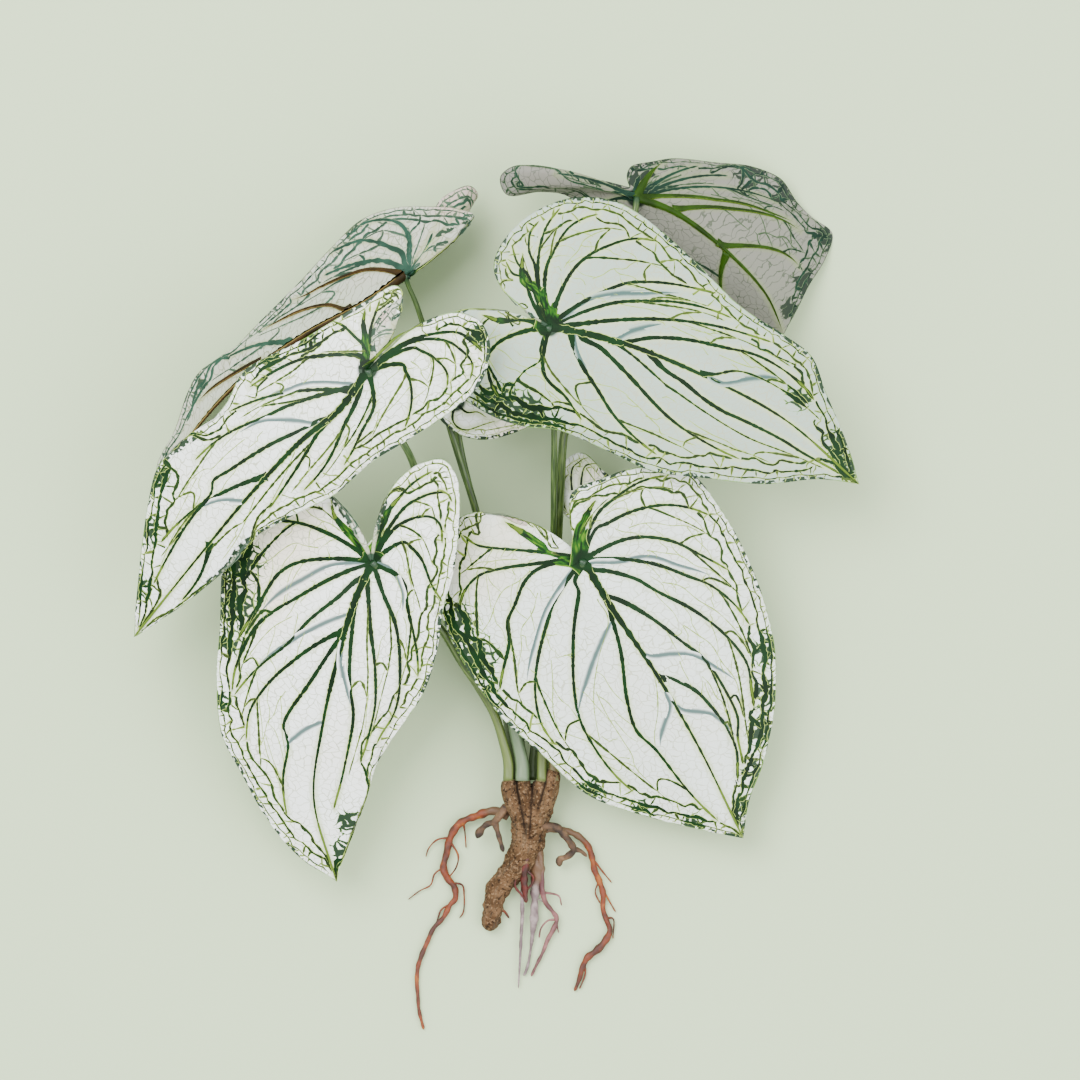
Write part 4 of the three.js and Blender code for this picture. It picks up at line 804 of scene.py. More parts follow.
            # thin cross-links, and where there is room a thin vein that wanders up the middle
            spine = gap > 15
            if spine:
                shares = np.linspace(rng.uniform(0.3, 0.45), meet - 0.03, 6)
                parts = middle + rng.uniform(-0.09, 0.09, 6)
                plan.append((side, np.array([between(p, s) for p, s in zip(parts, shares)]), shares,
                             0.65, 0.6, 0.85))
            for share in np.arange(0.28, meet - 0.02, 0.085):
                stops = [(0, middle), (middle, 1)] if spine else [(0, 1)]
                for at, to in stops:
                    here = share + rng.uniform(-0.04, 0.04)
                    there = here + rng.uniform(0.0, 0.09)
                    width = np.linalg.norm(skinAt(half, np.array(between(at, here)), np.array(here))
                                           - skinAt(half, np.array(between(to, there)),
                                                    np.array(there)))
                    if width < 4 or width > 40 or rng.random() < 0.3:
                        continue
                    if rng.random() < 0.5:
                        at, to = to, at
                    part = rng.choice([1.0, 1.0, 1.0, 0.55])
                    knots = np.array([0, 0.35, 0.7, 1]) * part
                    jog = np.array([0, 1, 1, 0]) * rng.uniform(-0.022, 0.022, 4)
                    shares = here + (there - here) * knots + jog
                    places = np.array([between(at + (to - at) * k, s)
                                       for k, s in zip(knots, shares)])
                    plan.append((side, places, shares, 0.6, 0.45, rng.uniform(0.7, 1)))
    return plan


def stripOf(points, facing, half, heights, across, sink):
    # a closed strip along a course: its section is the given heights across it and one buried
    # point under its middle
    along = unit(np.gradient(points, axis=0))
    aside = unit(np.cross(facing, along))
    rows = (points[:, None] + aside[:, None] * (across[None, :, None] * half[:, None, None])
            + facing[:, None] * np.asarray(heights)[None, :, None])
    rows = np.concatenate([rows, (points - facing * sink)[:, None]], axis=1)
    count, size = rows.shape[:2]
    i = np.arange(count - 1)[:, None] * size
    k = np.arange(size)[None]
    a, b = i + k, i + (k + 1) % size
    tris = np.concatenate([np.stack([a, a + size, b + size], -1).reshape(-1, 3),
                           np.stack([a, b + size, b], -1).reshape(-1, 3)])
    caps = np.array([[0, j, j + 1] for j in range(1, size - 1)])
    tris = np.concatenate([tris, caps, caps[:, ::-1] + (count - 1) * size])
    return rows.reshape(-1, 3), tris, np.tile(np.append(abs(across), 1.0), count)


def midribCourse(halves, step):
    # the same as courseOf for the midrib, square to both halves at once
    along = np.linspace(0, halves[1]["starts"][-1], 200)
    centre = splineAt(halves[1]["midrib"], along)
    facing = unit(sum(facingAt(h, np.interp(along, h["starts"][h["fanCount"]:],
                                            h["ends"][h["fanCount"]:]), 0.04 + 0 * along)
                      for h in halves.values()))
    travelled = arcLength(centre)
    even = np.linspace(0, travelled[-1] - 0.5, int(travelled[-1] / step))
    pick = np.interp(even, travelled, np.arange(200))
    return splineAt(centre, pick), unit(splineAt(facing, pick)), even


veinForm = {
    "step": 1.3,                   # mm from one cross-section to the next, half as much again
                                   # on a fine one
    "fine": 1.2,                   # a vein narrower than this has a plain ridge
    "below": 1.2,                  # how much longer the steps are on the face that looks down
    "flatMost": 2.4,               # a listed width past this is a wedge beside the midrib
    "wedge": 1.1,                  # how fast a wedge narrows: this power of the way left
    "midribFade": 1.7,
    "web": (2.4, 5),               # wider by this at the midrib, fading over this length
    "stout": ((1.6, 1.35), (1.2, 1.15)),       # past these widths, drawn this much wider
    "knots": {"rib": 0.08, "thin": 0.42, "thick": 0.24},       # uneven by this share of it
    "knotLengths": (2.6, 1.3),
    "thin": 1.6,
    "inPatches": {"upper": 1.5, "under": 0.5},     # wider by this share in the dark patches
    "ribShadeWidth": 4.6,              # the bands of painted shade along buried ribs
    "ribTall": 0.45, "ribMost": 3, # a rib's height is this share of its width, up to this width
    "sink": 0.2,                   # how far down into the blade the strip's underside lies
    # places across half the width, and how far each stands off the skin, mm
    "sections": {
        "mark": ([-1, -0.6, 0, 0.6, 1], [0.0, 0.05, 0.06, 0.05, 0.0]),
        "fine": ([-1, 0, 1], [-0.03, 0.1, -0.03]),
        "vein": ([-1, -0.72, 0, 0.72, 1], [-0.03, 0.09, 0.12, 0.09, -0.03]),
        "rib": ([-1, -0.85, -0.45, 0, 0.45, 0.85, 1], [-0.1, 0.5, 0.9, 1, 0.9, 0.5, -0.1]),
    },
    "mapScale": 0.0024, "mapRows": 32,
}


def veinWidth(name, halves, centre, travelled, vein, kind, isUnder, toMargin):
    # how wide a vein is along its way: straight from its first width to its last, plus a wedge
    # or a web beside the midrib, then uneven, wider in dark patches and drawn in at its end
    side, _, shares, wide, narrow, _ = vein
    share = travelled / travelled[-1]
    if kind == "mark":
        return veinForm["ribShadeWidth"] * np.clip((1 - share) * 4, 0.1, 1) * np.clip(
            share * 8 + 0.3, 0, 1)
    if side:
        plain = min(wide, veinForm["flatMost"])
        width = plain + (narrow - plain) * share + (wide - plain) * (1 - share) ** veinForm["wedge"]
        if kind == "vein":
            width = width * next((more for past, more in veinForm["stout"] if wide > past), 1)
        if wide > 1.2 and shares[0] < 0.03:
            width = width + veinForm["web"][0] * np.exp(-travelled / veinForm["web"][1])
    else:
        width = narrow + (wide - narrow) * (1 - share) ** veinForm["midribFade"]
    rough = veinForm["knots"]["rib" if kind == "rib" else
                              "thin" if wide < veinForm["thin"] else "thick"]
    long, short = veinForm["knotLengths"]
    width = width * (1 + rough * wander(centre, long, 5) + 0.5 * rough * wander(centre, short, 6))
    if kind == "vein":
        main, thin = network["slender"].get(name, (1, 1))
        width = width * (thin if wide < 1 else main)
    width = np.maximum(width * np.minimum(1, 0.3 + (1 - share) * travelled[-1] / 2.5), 0.25)
    if side and wide > 0.9:
        more = veinForm["inPatches"]["under" if isUnder else "upper"]
        width = width * (1 + more * spotValue(halves, centre, spots[name]["blotch"]))
    width = np.minimum(width, np.maximum(1.7 * toMargin, 0.5))
    if kind == "rib":
        width = width * np.clip((1 - share) * travelled[-1] / 8, 0.25, 1)
    return width


def buildVeins(name, halves, plan, relief, onUpper, kind):
    # the strips of one face of a blade, each in its own row of the map: its flat veins, the ribs
    # that stand up round on the underside, or bands of painted shade along ribs buried under the
    # upper face
    groups = {"points": [], "faces": [], "across": [], "yellow": [], "normals": [], "uv": [],
              "warm": [], "lush": [], "inward": [], "dullAndShade": [], "hub": []}
    total, row, reached = 0, 0, 0.0
    isUnder = onUpper == (blades[name]["under"] > 0)
    sign = 1 if onUpper else -1
    for vein in plan:
        side, places, shares, wide, _, yellow = vein
        # a width of 0 becomes a strip of painted shade along a buried rib
        own = "mark" if wide == 0 else "rib" if isUnder and (side == 0 or wide > 2.1) else "vein"
        if own != kind:
            continue
        fine = 0 < wide < veinForm["fine"]
        step = veinForm["step"] * (1.5 if wide < veinForm["fine"] else 1)
        step *= 1 if onUpper else veinForm["below"]
        if side:
            centre, facing, travelled = courseOf(halves[side], places, shares, step)
        else:
            centre, facing, travelled = midribCourse(halves, step)
        share = travelled / travelled[-1]
        toMargin, _, height, thick = relief(centre)
        width = veinWidth(name, halves, centre, travelled, vein, kind, isUnder, toMargin)
        if side and wide > 0.9:
            # no yellow ones in a dark patch
            dark = spotValue(halves, centre, spots[name]["blotch"]).max()
            yellow = yellow * (1 - np.clip(dark * 1.6, 0, 1))
        face = facesAt(name, centre, facing, height, thick)[0 if onUpper else 1]
        across, heights = map(np.array, veinForm["sections"]["fine" if fine else kind])
        if kind == "rib":
            tall = veinForm["ribTall"] * min(wide, veinForm["ribMost"])
            heights = np.where(heights > 0, heights * tall, heights)
        rows, tris, side01 = stripOf(face, facing * sign, width / 2, heights, across,
                                     veinForm["sink"])
        size = len(heights) + 1
        if kind == "rib":
            # the rib sinks into the skin towards its end
            down = np.repeat((1 - np.clip((1 - share) * 3, 0, 1)) * tall, size)
            rows = rows - np.repeat(facing * sign, size, axis=0) * down[:, None]
        rows[:, 2] = np.maximum(rows[:, 2], 0.0)
        # a broad one is lush where it is more than 3.4 mm wide
        lush = np.clip(width / 2 - 1.7, 0, 1) * (side != 0 and wide > veinForm["flatMost"])
        groups["points"].append(rows)
        groups["faces"].append(tris + total)
        groups["across"].append(side01)
        groups["yellow"].append(np.full(len(rows), yellow))
        groups["normals"].append(np.repeat(facing * sign, size, axis=0))
        groups["warm"].append(spotValue(halves, rows, spots[name]["warm"]))
        groups["dullAndShade"].append(np.full(len(rows), blade["dullAndShade"][name]))
        groups["hub"].append(spotValue(halves, rows, [(1, 0, 0, 1.3 * blade["hub"])]))
        groups["lush"].append(np.repeat(lush, size))
        groups["inward"].append(np.repeat(width / 2, size) * (1 - side01))
        total += len(rows)
        if reached + travelled[-1] * veinForm["mapScale"] > 0.99:
            row, reached = row + 1, 0.0
        u = reached + travelled * veinForm["mapScale"]
        reached = u[-1] + 0.004
        w = np.append(np.linspace(0.1, 0.82, len(heights)), 0.95)
        rowAt = (row + np.tile(w, len(u))) / veinForm["mapRows"]
        groups["uv"].append(np.stack([np.repeat(u, size), rowAt], -1)[tris])
    if not total:
        return None
    return {key: np.concatenate(value) for key, value in groups.items()}


def spotValue(halves, points, listed):
    # how strongly soft round spots cover each point, 0 to 1
    value = np.zeros(len(points))
    for side, place, share, radius in listed:
        centre = skinAt(halves[side], np.array(place), np.array(share))
        value = np.maximum(value, np.exp(-((points - centre) ** 2).sum(1) / radius ** 2))
    return value


def chart(half, points, corner, size):
    # a flat map of one half, laid along the line from the midrib's start to its tip
    ahead = half["midrib"][-1] - half["midrib"][0]
    ahead = unit(ahead - half["face"] * (ahead @ half["face"]))
    flat = np.stack([points @ np.cross(half["face"], ahead), points @ ahead], -1)
    low, high = flat.reshape(-1, 2).min(axis=0), flat.reshape(-1, 2).max(axis=0)
    return np.array(corner) + (flat - low) * min(size[0] / (high - low)[0],
                                                 size[1] / (high - low)[1])


def buildBlade(name, halves, relief):
    # both faces of a blade and the thin band between them, from one grid for each half: lines
    # from the midrib to the margin, each cut into the same rows
    info = blades[name]
    places, shared = linePlaces(halves)
    rows = blade["rows"] if len(places[1]) > 110 else blade["rowsSmall"]
    shares = np.linspace(0, 1, rows)
    skin, facing = {}, {}
    for side, half in halves.items():
        grid, share = np.meshgrid(places[side], shares, indexing="ij")
        skin[side] = skinAt(half, grid, share)
        facing[side] = facingAt(half, grid, share)
    # both halves share the directions along the midrib, at its start and tip, and on the line
    # where they join
    crest = unit(facing[1][-shared:, 0] + facing[-1][-shared:, 0])
    hub = unit(sum(f[:-shared, 0].sum(axis=0) for f in facing.values()))
    joint = unit(facing[1][0] + facing[-1][0])
    tip = unit(facing[1][-1].sum(axis=0) + facing[-1][-1].sum(axis=0))
    for side in halves:
        near = np.clip(shares / 0.1, 0, 1)[None, :, None]
        near = near * near * (3 - 2 * near)
        spine = np.vstack([np.repeat(hub[None], len(places[side]) - shared, axis=0), crest])
        facing[side] = unit(spine[:, None] * (1 - near) + facing[side] * near)
        facing[side][0] = joint
        facing[side][0, 0] = hub
        facing[side][-1] = tip
    verts, values = [], {"margin": [], "near": [], "warm": [], "blotch": [], "hub": [],
                     "dullAndShade": []}
    for side in halves:
        flat, up = skin[side].reshape(-1, 3), facing[side].reshape(-1, 3)
        toMargin, toRib, height, thick = relief(flat)
        for face in facesAt(name, flat, up, height, thick):
            values["margin"].append(toMargin)
            values["near"].append(toRib)
            values["warm"].append(spotValue(halves, flat, spots[name]["warm"]))
            values["blotch"].append(spotValue(halves, flat, spots[name]["blotch"]))
            values["hub"].append(spotValue(halves, flat, [(1, 0, 0, blade["hub"])]))
            values["dullAndShade"].append(np.full(len(flat), blade["dullAndShade"][name]))
            verts.append(face)
    values = {key: np.concatenate(value) for key, value in values.items()}
    verts = np.vstack(verts)
    # faces, with their places in the map: wide charts for the upper face, small ones for the lower
    tris, uvs, slots = [], [], []
    begin = 0
    for side, half in halves.items():
        lines = len(places[side])
        left = 0.0 if side > 0 else 0.34
        wide = chart(half, skin[side], (left + 0.005, 0.01), (0.32, 0.98)).reshape(-1, 2)
        small = chart(half, skin[side], (0.685 + 0.5 * left * 0.92, 0.01),
                      (0.145, 0.98)).reshape(-1, 2)
        i, j = np.meshgrid(np.arange(lines - 1), np.arange(rows - 1), indexing="ij")
        a = (i * rows + j).ravel()
        quads = np.stack([a, a + rows, a + rows + 1, a + 1], -1)
        local = np.concatenate([quads[:, [0, 1, 2]], quads[:, [0, 2, 3]]])
        if side < 0:
            local = local[:, ::-1]
        count = lines * rows
        tris += [local + begin, local[:, ::-1] + begin + count]
        uvs += [wide[local], small[local[:, ::-1]]]
        topSlot = 0 if info["under"] < 0 else 1
        slots += [np.full(len(local), topSlot), np.full(len(local), 1 - topSlot)]
        rim = np.arange(lines - 1) * rows + rows - 1
        band = np.stack([rim, rim + count, rim + rows + count, rim + rows], -1)
        out = unit(wide[rim] - wide[rim - 2]) * 0.003
        bandUv = np.stack([wide[rim], wide[rim] + out, wide[rim + rows] + out, wide[rim + rows]], 1)
        for pick in ([0, 1, 2], [0, 2, 3]):
            order = pick if side > 0 else pick[::-1]
            tris.append(band[:, order] + begin)
            uvs.append(bandUv[:, order])
            slots.append(np.zeros(len(band)))
        begin += 2 * count
    tris, uvs, slots = np.concatenate(tris), np.concatenate(uvs), np.concatenate(slots)
    # points at one place become one, and faces with no area go
    _, keep, joined = np.unique(np.round(verts, 3), axis=0, return_index=True, return_inverse=True)
    tris = joined.ravel()[tris]
    good = ((tris[:, 0] != tris[:, 1]) & (tris[:, 1] != tris[:, 2]) & (tris[:, 2] != tris[:, 0]))
    return (verts[keep], tris[good], {key: value[keep] for key, value in values.items()},
            uvs[good], slots[good])


# settings of nodes that are used all over
smooth = {"interpolation_type": "SMOOTHSTEP"}
colours = {"data_type": "RGBA"}
cells = {"feature": "DISTANCE_TO_EDGE", "voronoi_dimensions": "2D"}
times, plus = {"operation": "MULTIPLY"}, {"operation": "ADD"}
product = {"operation": "MULTIPLY_ADD"}


def startFinish(name):
    # an empty material, its tree, and a place on the piece in metres
    material = bpy.data.materials.new(name)
    material.use_nodes = True
    material.node_tree.nodes.clear()
    where = addNode(material.node_tree, "ShaderNodeTexCoord", None, None, "Object")
    return material, material.node_tree, where


def endFinish(tree, settings):
    # the shader with its own values, and the output
    shader = addNode(tree, "ShaderNodeBsdfPrincipled", None, settings)
    addNode(tree, "ShaderNodeOutputMaterial", None, {"Surface": shader})


# rib and ribMost in each look: the colour and the greatest strength of the painted shade along ribs
# buried under the skin
bladeLook = {
    # in each look, the colour a whole blade's skin leans to is partly its own duller tone and
    # partly painted shade
    "upper": {
        "skin": "#F2F8F5", "warm": "#F0EAD8", "dullAndShade": "#97AD9B", "rib": "#365551",
        "fine": "#A9AE93", "halo": "#B8C593", "net": "#052909", "netEdge": "#628926",
        "rough": 0.5, "ribMost": 0.95,
    },
    "under": {
        "skin": "#BCC2B3", "warm": "#C7B2A9", "dullAndShade": "#74766C", "rib": "#96967A",
        "fine": "#707555", "halo": "#959B6E", "net": "#1D3824", "netEdge": "#5F6E46",
        "rough": 0.56, "ribMost": 0.5,
    },
    "shaded": {
        "skin": "#BEC2B4", "warm": "#C7B2A9", "dullAndShade": "#74746A", "rib": "#96967A",
        "fine": "#3F4A38", "halo": "#7E8763", "net": "#0F2114", "netEdge": "#2F4226",
        "rough": 0.56, "ribMost": 0.5,
    },
    # uneven values: size in mm, detail, roughness
    "uneven": {"ragged": (2.2, 2.0, 0.5), "fade": (13, 2.0, 0.5), "patch": (26, 1.0, 0.5),
               "speck": (2.6, 1.0, 0.5), "stretch": (15, 1.0, 0.5), "grain": (0.9, 3.0, 0.6)},
    "bend": (7.0, 0.006),      # the nets wander: over this many mm, by this many metres
    "fineCell": 4.0, "darkCell": 5.0,      # mm
    "cloud": 38,               # mm, the creamy clouds
}


def skinColour(tree, where, look):
    # the leaf's own near white: creamier where it is told to be and in broad clouds, and over a
    # whole blade duller by that blade's own amount, partly its own tone and partly painted shade
    given = {key: addNode(tree, "ShaderNodeAttribute", {"attribute_name": key}, None, "Fac")
             for key in ("warm", "dullAndShade")}
    cloud = addNode(tree, "ShaderNodeTexNoise", None,
                    {"Vector": where, "Scale": 1000 / bladeLook["cloud"]})
    warm = addNode(tree, "ShaderNodeMapRange", smooth, {0: given["warm"], 1: 0.15, 2: 0.9})
    cloud = addNode(tree, "ShaderNodeMapRange", smooth, {0: cloud, 1: 0.35, 2: 0.75, 4: 0.25})
    colour = linear(look["skin"])
    # the last mix dulls the whole blade: partly its own tone, partly painted shade
    for amount, over in ((warm, "warm"), (cloud, "warm"), (given["dullAndShade"], "dullAndShade")):
        colour = addNode(tree, "ShaderNodeMix", colours,
                         {0: amount, 6: colour, 7: linear(look[over])}, 2)
    return colour


def ribShadeFinish(name, look):
    # painted shade along a rib buried under the upper skin: a bluish band over the waxy skin,
    # softest at its sides
    material, tree, where = startFinish(name)
    across = addNode(tree, "ShaderNodeAttribute", {"attribute_name": "across"}, None, "Fac")
    ragged = addNode(tree, "ShaderNodeTexNoise", None, {"Vector": where, "Scale": 1000 / 3.0})
    across = addNode(tree, "ShaderNodeMath", product, {0: ragged, 1: 0.25, 2: across})
    amount = addNode(tree, "ShaderNodeMapRange", smooth,
                     {0: across, 1: 0.3, 2: 1.08, 3: look["ribMost"], 4: 0.0})
    colour = addNode(tree, "ShaderNodeMix", colours,
                     {0: amount, 6: skinColour(tree, where, look), 7: linear(look["rib"])}, 2)
    endFinish(tree, {"Base Color": colour, "Roughness": look["rough"], "Specular IOR Level": 0.25})
    return material


def bladeFinish(name, look):
    # a living leaf with a thin wax coat: near white where it holds no green, with a faint net of
    # the smallest veins, dark green patches and rim, and a soft even gloss
    material, tree, where = startFinish(name)
    given = {key: addNode(tree, "ShaderNodeAttribute", {"attribute_name": key}, None, "Fac")
             for key in ("margin", "near", "blotch", "hub")}
    uneven = {key: addNode(tree, "ShaderNodeTexNoise", None,
                           {"Vector": where, "Scale": 1000 / size, "Detail": detail,
                            "Roughness": rough})
              for key, (size, detail, rough) in bladeLook["uneven"].items()}
    # both nets lie flat on the leaf and wander a little
    over, by = bladeLook["bend"]
    bend = addNode(tree, "ShaderNodeTexNoise", None, {"Vector": where, "Scale": 1000 / over},
                   "Color")
    bent = addNode(tree, "ShaderNodeVectorMath", product, {0: bend, 1: (by, by, by), 2: where})
    slant = addNode(tree, "ShaderNodeVectorMath", {"operation": "DOT_PRODUCT"},
                    {0: bent, 1: (0.0, 0.0, 0.7)}, "Value")
    flat = addNode(tree, "ShaderNodeVectorMath", plus, {0: bent, 1: slant})
    # the finest veins: lines 0.3 mm wide round small cells, fading here and there
    fine = addNode(tree, "ShaderNodeTexVoronoi", cells,
                   {"Vector": flat, "Scale": 1000 / bladeLook["fineCell"]})
    fine = addNode(tree, "ShaderNodeMapRange", smooth, {0: fine, 1: 0.03, 2: 0.085, 3: 1.0, 4: 0.0})
    fade = addNode(tree, "ShaderNodeMapRange", smooth,
                   {0: uneven["fade"], 1: 0.3, 2: 0.65, 3: 0.35, 4: 0.85})
    faint = addNode(tree, "ShaderNodeMath", times, {0: fine, 1: fade})
    # a yellow-green edge beside each rib
    beside = addNode(tree, "ShaderNodeMath", product,
                     {0: uneven["ragged"], 1: -1.5, 2: given["near"]})
    halo = addNode(tree, "ShaderNodeMapRange", smooth, {0: beside, 1: 0.2, 2: 2.6, 3: 0.6, 4: 0.0})
    # dark patches: a green net that closes up in the middle of each patch
    net = addNode(tree, "ShaderNodeTexVoronoi", cells,
                  {"Vector": flat, "Scale": 1000 / bladeLook["darkCell"]})
    net = addNode(tree, "ShaderNodeMath", product, {0: given["blotch"], 1: -0.5, 2: net})
    net = addNode(tree, "ShaderNodeMath", product, {0: uneven["ragged"], 1: 0.16, 2: net})
    netEdge = addNode(tree, "ShaderNodeMapRange", smooth,
                      {0: net, 1: -0.06, 2: -0.03, 3: 1.0, 4: 0.0})
    net = addNode(tree, "ShaderNodeMapRange", smooth, {0: net, 1: -0.1, 2: -0.07, 3: 1.0, 4: 0.0})
    # the rim is a thin green line on most stretches, and on some it is dark and up to 2 mm wide,
    # broken by pale specks
    inward = addNode(tree, "ShaderNodeMath", product,
                     {0: uneven["ragged"], 1: -0.5, 2: given["margin"]})
    line = addNode(tree, "ShaderNodeMapRange", smooth,
                   {0: inward, 1: 0.1, 2: 0.5, 3: 0.85, 4: 0.0})
    stretch = addNode(tree, "ShaderNodeMapRange", smooth, {0: uneven["stretch"], 1: 0.35, 2: 0.5})
    line = addNode(tree, "ShaderNodeMath", times, {0: line, 1: stretch})
    patch = addNode(tree, "ShaderNodeMapRange", smooth,
                    {0: uneven["patch"], 1: 0.45, 2: 0.62, 4: 1.9})
    depth = addNode(tree, "ShaderNodeMath", {"operation": "SUBTRACT"}, {0: patch, 1: inward})
    depth = addNode(tree, "ShaderNodeMapRange", smooth, {0: depth, 1: 0.0, 2: 0.3})
    solid = addNode(tree, "ShaderNodeMapRange", smooth,
                    {0: uneven["speck"], 1: 0.52, 2: 0.57, 3: 1.0, 4: 0.0})
    rim = addNode(tree, "ShaderNodeMath", times, {0: depth, 1: solid})
    # the dark green web where the ribs meet
    hub = addNode(tree, "ShaderNodeMapRange", smooth, {0: given["hub"], 1: 0.3, 2: 0.55})
    colour = skinColour(tree, where, look)
    for amount, over in ((faint, "fine"), (halo, "halo"), (netEdge, "netEdge"), (net, "net"),
                         (line, "netEdge"), (rim, "net"), (hub, "net")):
        colour = addNode(tree, "ShaderNodeMix", colours,
                         {0: amount, 6: colour, 7: linear(look[over])}, 2)
    height = addNode(tree, "ShaderNodeMath", product, {0: fine, 1: -0.35, 2: uneven["grain"]})
    bump = addNode(tree, "ShaderNodeBump", None,
                   {"Height": height, "Distance": 0.00012, "Strength": 0.6})
    endFinish(tree, {"Base Color": colour, "Normal": bump, "Roughness": look["rough"],
                     "Specular IOR Level": 0.35, "Sheen Weight": 0.05})
    return material


veinLook = {
    "upper": {"core": "#062B0A", "dark": "#031A05", "edge": "#A0B65E", "thin": "#82993F",
              "lush": "#1C4F0D", "streak": "#537A18", "rough": 0.45},
    # below is the darker copy, painted shade, for the underside of top_right; belowPale is the same
    # underside without it
    "below": {"core": "#163326", "dark": "#0E2219", "edge": "#5A6B4F", "thin": "#3C4D36",
              "lush": "#1D3826", "streak": "#344F2D", "rough": 0.52},
    "belowPale": {"core": "#28483A", "dark": "#1A3428", "edge": "#84927A", "thin": "#6E7C64",
                  "lush": "#22402C", "streak": "#3C5A34", "rough": 0.52},
    "green": {"core": "#254105", "dark": "#172C03", "edge": "#546C20", "thin": "#627A33",
              "lush": "#254105", "streak": "#34530D", "rough": 0.5},
    "brown": {"core": "#37250A", "dark": "#1F1805", "edge": "#6E5E33", "thin": "#6E7A48",
              "lush": "#37250A", "streak": "#453310", "rough": 0.5},
    "ragged": 1.5, "broad": 11,            # mm
    "streaks": (70, 320, 0),               # over the strip's own map, so they run with it
}


def veinFinish(name, look):
    # the green tissue over a vein: dark in the middle, yellow-green and ragged at its edges, and
    # bright green in streaks where it is broad
    material, tree, where = startFinish(name)
    given = {key: addNode(tree, "ShaderNodeAttribute", {"attribute_name": key}, None, "Fac")
             for key in ("yellow", "lush", "inward", "hub")}
    ragged = addNode(tree, "ShaderNodeTexNoise", None,
                     {"Vector": where, "Scale": 1000 / veinLook["ragged"]})
    broad = addNode(tree, "ShaderNodeTexNoise", None,
                    {"Vector": where, "Scale": 1000 / veinLook["broad"]})
    own = addNode(tree, "ShaderNodeTexCoord", None, None, "UV")
    own = addNode(tree, "ShaderNodeVectorMath", times, {0: own, 1: veinLook["streaks"]})
    streak = addNode(tree, "ShaderNodeTexNoise", None, {"Vector": own, "Scale": 1.0})
    dark = addNode(tree, "ShaderNodeMapRange", smooth, {0: broad, 1: 0.35, 2: 0.65})
    bright = addNode(tree, "ShaderNodeMapRange", smooth, {0: streak, 1: 0.5, 2: 0.72})
    bright = addNode(tree, "ShaderNodeMix", colours,
                     {0: bright, 6: linear(look["lush"]), 7: linear(look["streak"])}, 2)
    lush = addNode(tree, "ShaderNodeMapRange", smooth, {0: streak, 1: 0.38, 2: 0.52})
    lush = addNode(tree, "ShaderNodeMath", times, {0: lush, 1: given["lush"]})
    inside = addNode(tree, "ShaderNodeMath", product, {0: ragged, 1: 0.4, 2: given["inward"]})
    edge = addNode(tree, "ShaderNodeMapRange", smooth,
                   {0: inside, 1: 0.36, 2: 0.5, 3: 1.0, 4: 0.0})
    # plain dark beside the stalk
    away = addNode(tree, "ShaderNodeMapRange", smooth,
                   {0: given["hub"], 1: 0.35, 2: 0.65, 3: 1.0, 4: 0.0})
    edge = addNode(tree, "ShaderNodeMath", times, {0: edge, 1: away})
    lush = addNode(tree, "ShaderNodeMath", times, {0: lush, 1: away})
    colour = linear(look["core"])
    for amount, over in ((dark, linear(look["dark"])), (given["yellow"], linear(look["thin"])),
                         (lush, bright), (edge, linear(look["edge"]))):
        colour = addNode(tree, "ShaderNodeMix", colours, {0: amount, 6: colour, 7: over}, 2)
    bump = addNode(tree, "ShaderNodeBump", None,
                   {"Height": ragged, "Distance": 0.0001, "Strength": 0.5})
    endFinish(tree, {"Base Color": colour, "Normal": bump, "Roughness": look["rough"],
                     "Specular IOR Level": 0.12})
    return material


upperLeaf = bladeFinish("caladium_leaf_upper", bladeLook["upper"])
underLeaf = bladeFinish("caladium_leaf_underside", bladeLook["under"])
shadedLeaf = bladeFinish("caladium_leaf_underside_shaded", bladeLook["shaded"])
paintedRibShade = ribShadeFinish("leaf_painted_rib_shade", bladeLook["upper"])
upperVein = veinFinish("leaf_vein_green", veinLook["upper"])
underVein = veinFinish("leaf_vein_from_below", veinLook["belowPale"])
shadedVein = veinFinish("leaf_vein_from_below_shaded", veinLook["below"])
greenRib = veinFinish("leaf_rib_green", veinLook["green"])
brownRib = veinFinish("leaf_rib_brown", veinLook["brown"])
print("leaf finishes")

for name, info in blades.items():
    halves = {1: halfOf(info, 1), -1: halfOf(info, -1)}
    plan = veinPlan(name, halves)
    relief = reliefOf(name, halves, plan)
    points, faces, values, uv, slots = buildBlade(name, halves, relief)
    below = shadedLeaf if name == "top_right" else underLeaf
    leaf = newMesh("leaf_" + name, points, faces, [upperLeaf, below], values, uv,
                   faceSlots=slots)
    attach(leaf, "root")
    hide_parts("blade_" + name)
    midrib = blade["midrib"] if len(info["pairs"]) > 2 else blade["smallMidrib"]
    plan.insert(0, (0, None, None, *midrib, 0.0))
    rib = brownRib if name == "upper_left" else greenRib
    under = shadedVein if name == "top_right" else underVein
    faceUp = info["under"] < 0
    count = 0
    # the second set of strips is painted shade along the ribs buried under the upper face
    for title, onUpper, kind, look in (("veins_", faceUp, "vein", upperVein),
                                       ("rib_shade_", faceUp, "mark", paintedRibShade),
                                       ("under_veins_", not faceUp, "vein", under),
                                       ("ribs_", not faceUp, "rib", rib)):
        built = buildVeins(name, halves, plan, relief, onUpper, kind)
        if not built:
            continue
        values = {key: built[key] for key in ("across", "yellow", "warm", "lush", "inward",
                                              "dullAndShade", "hub")}
        strips = newMesh(title + name, built["points"], built["faces"], [look], values,
                         built["uv"], None if kind == "rib" else built["normals"])
        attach(strips, "root")
        count += len(built["faces"])
    print("leaf", name, len(leaf.data.polygons), "and its veins", count)


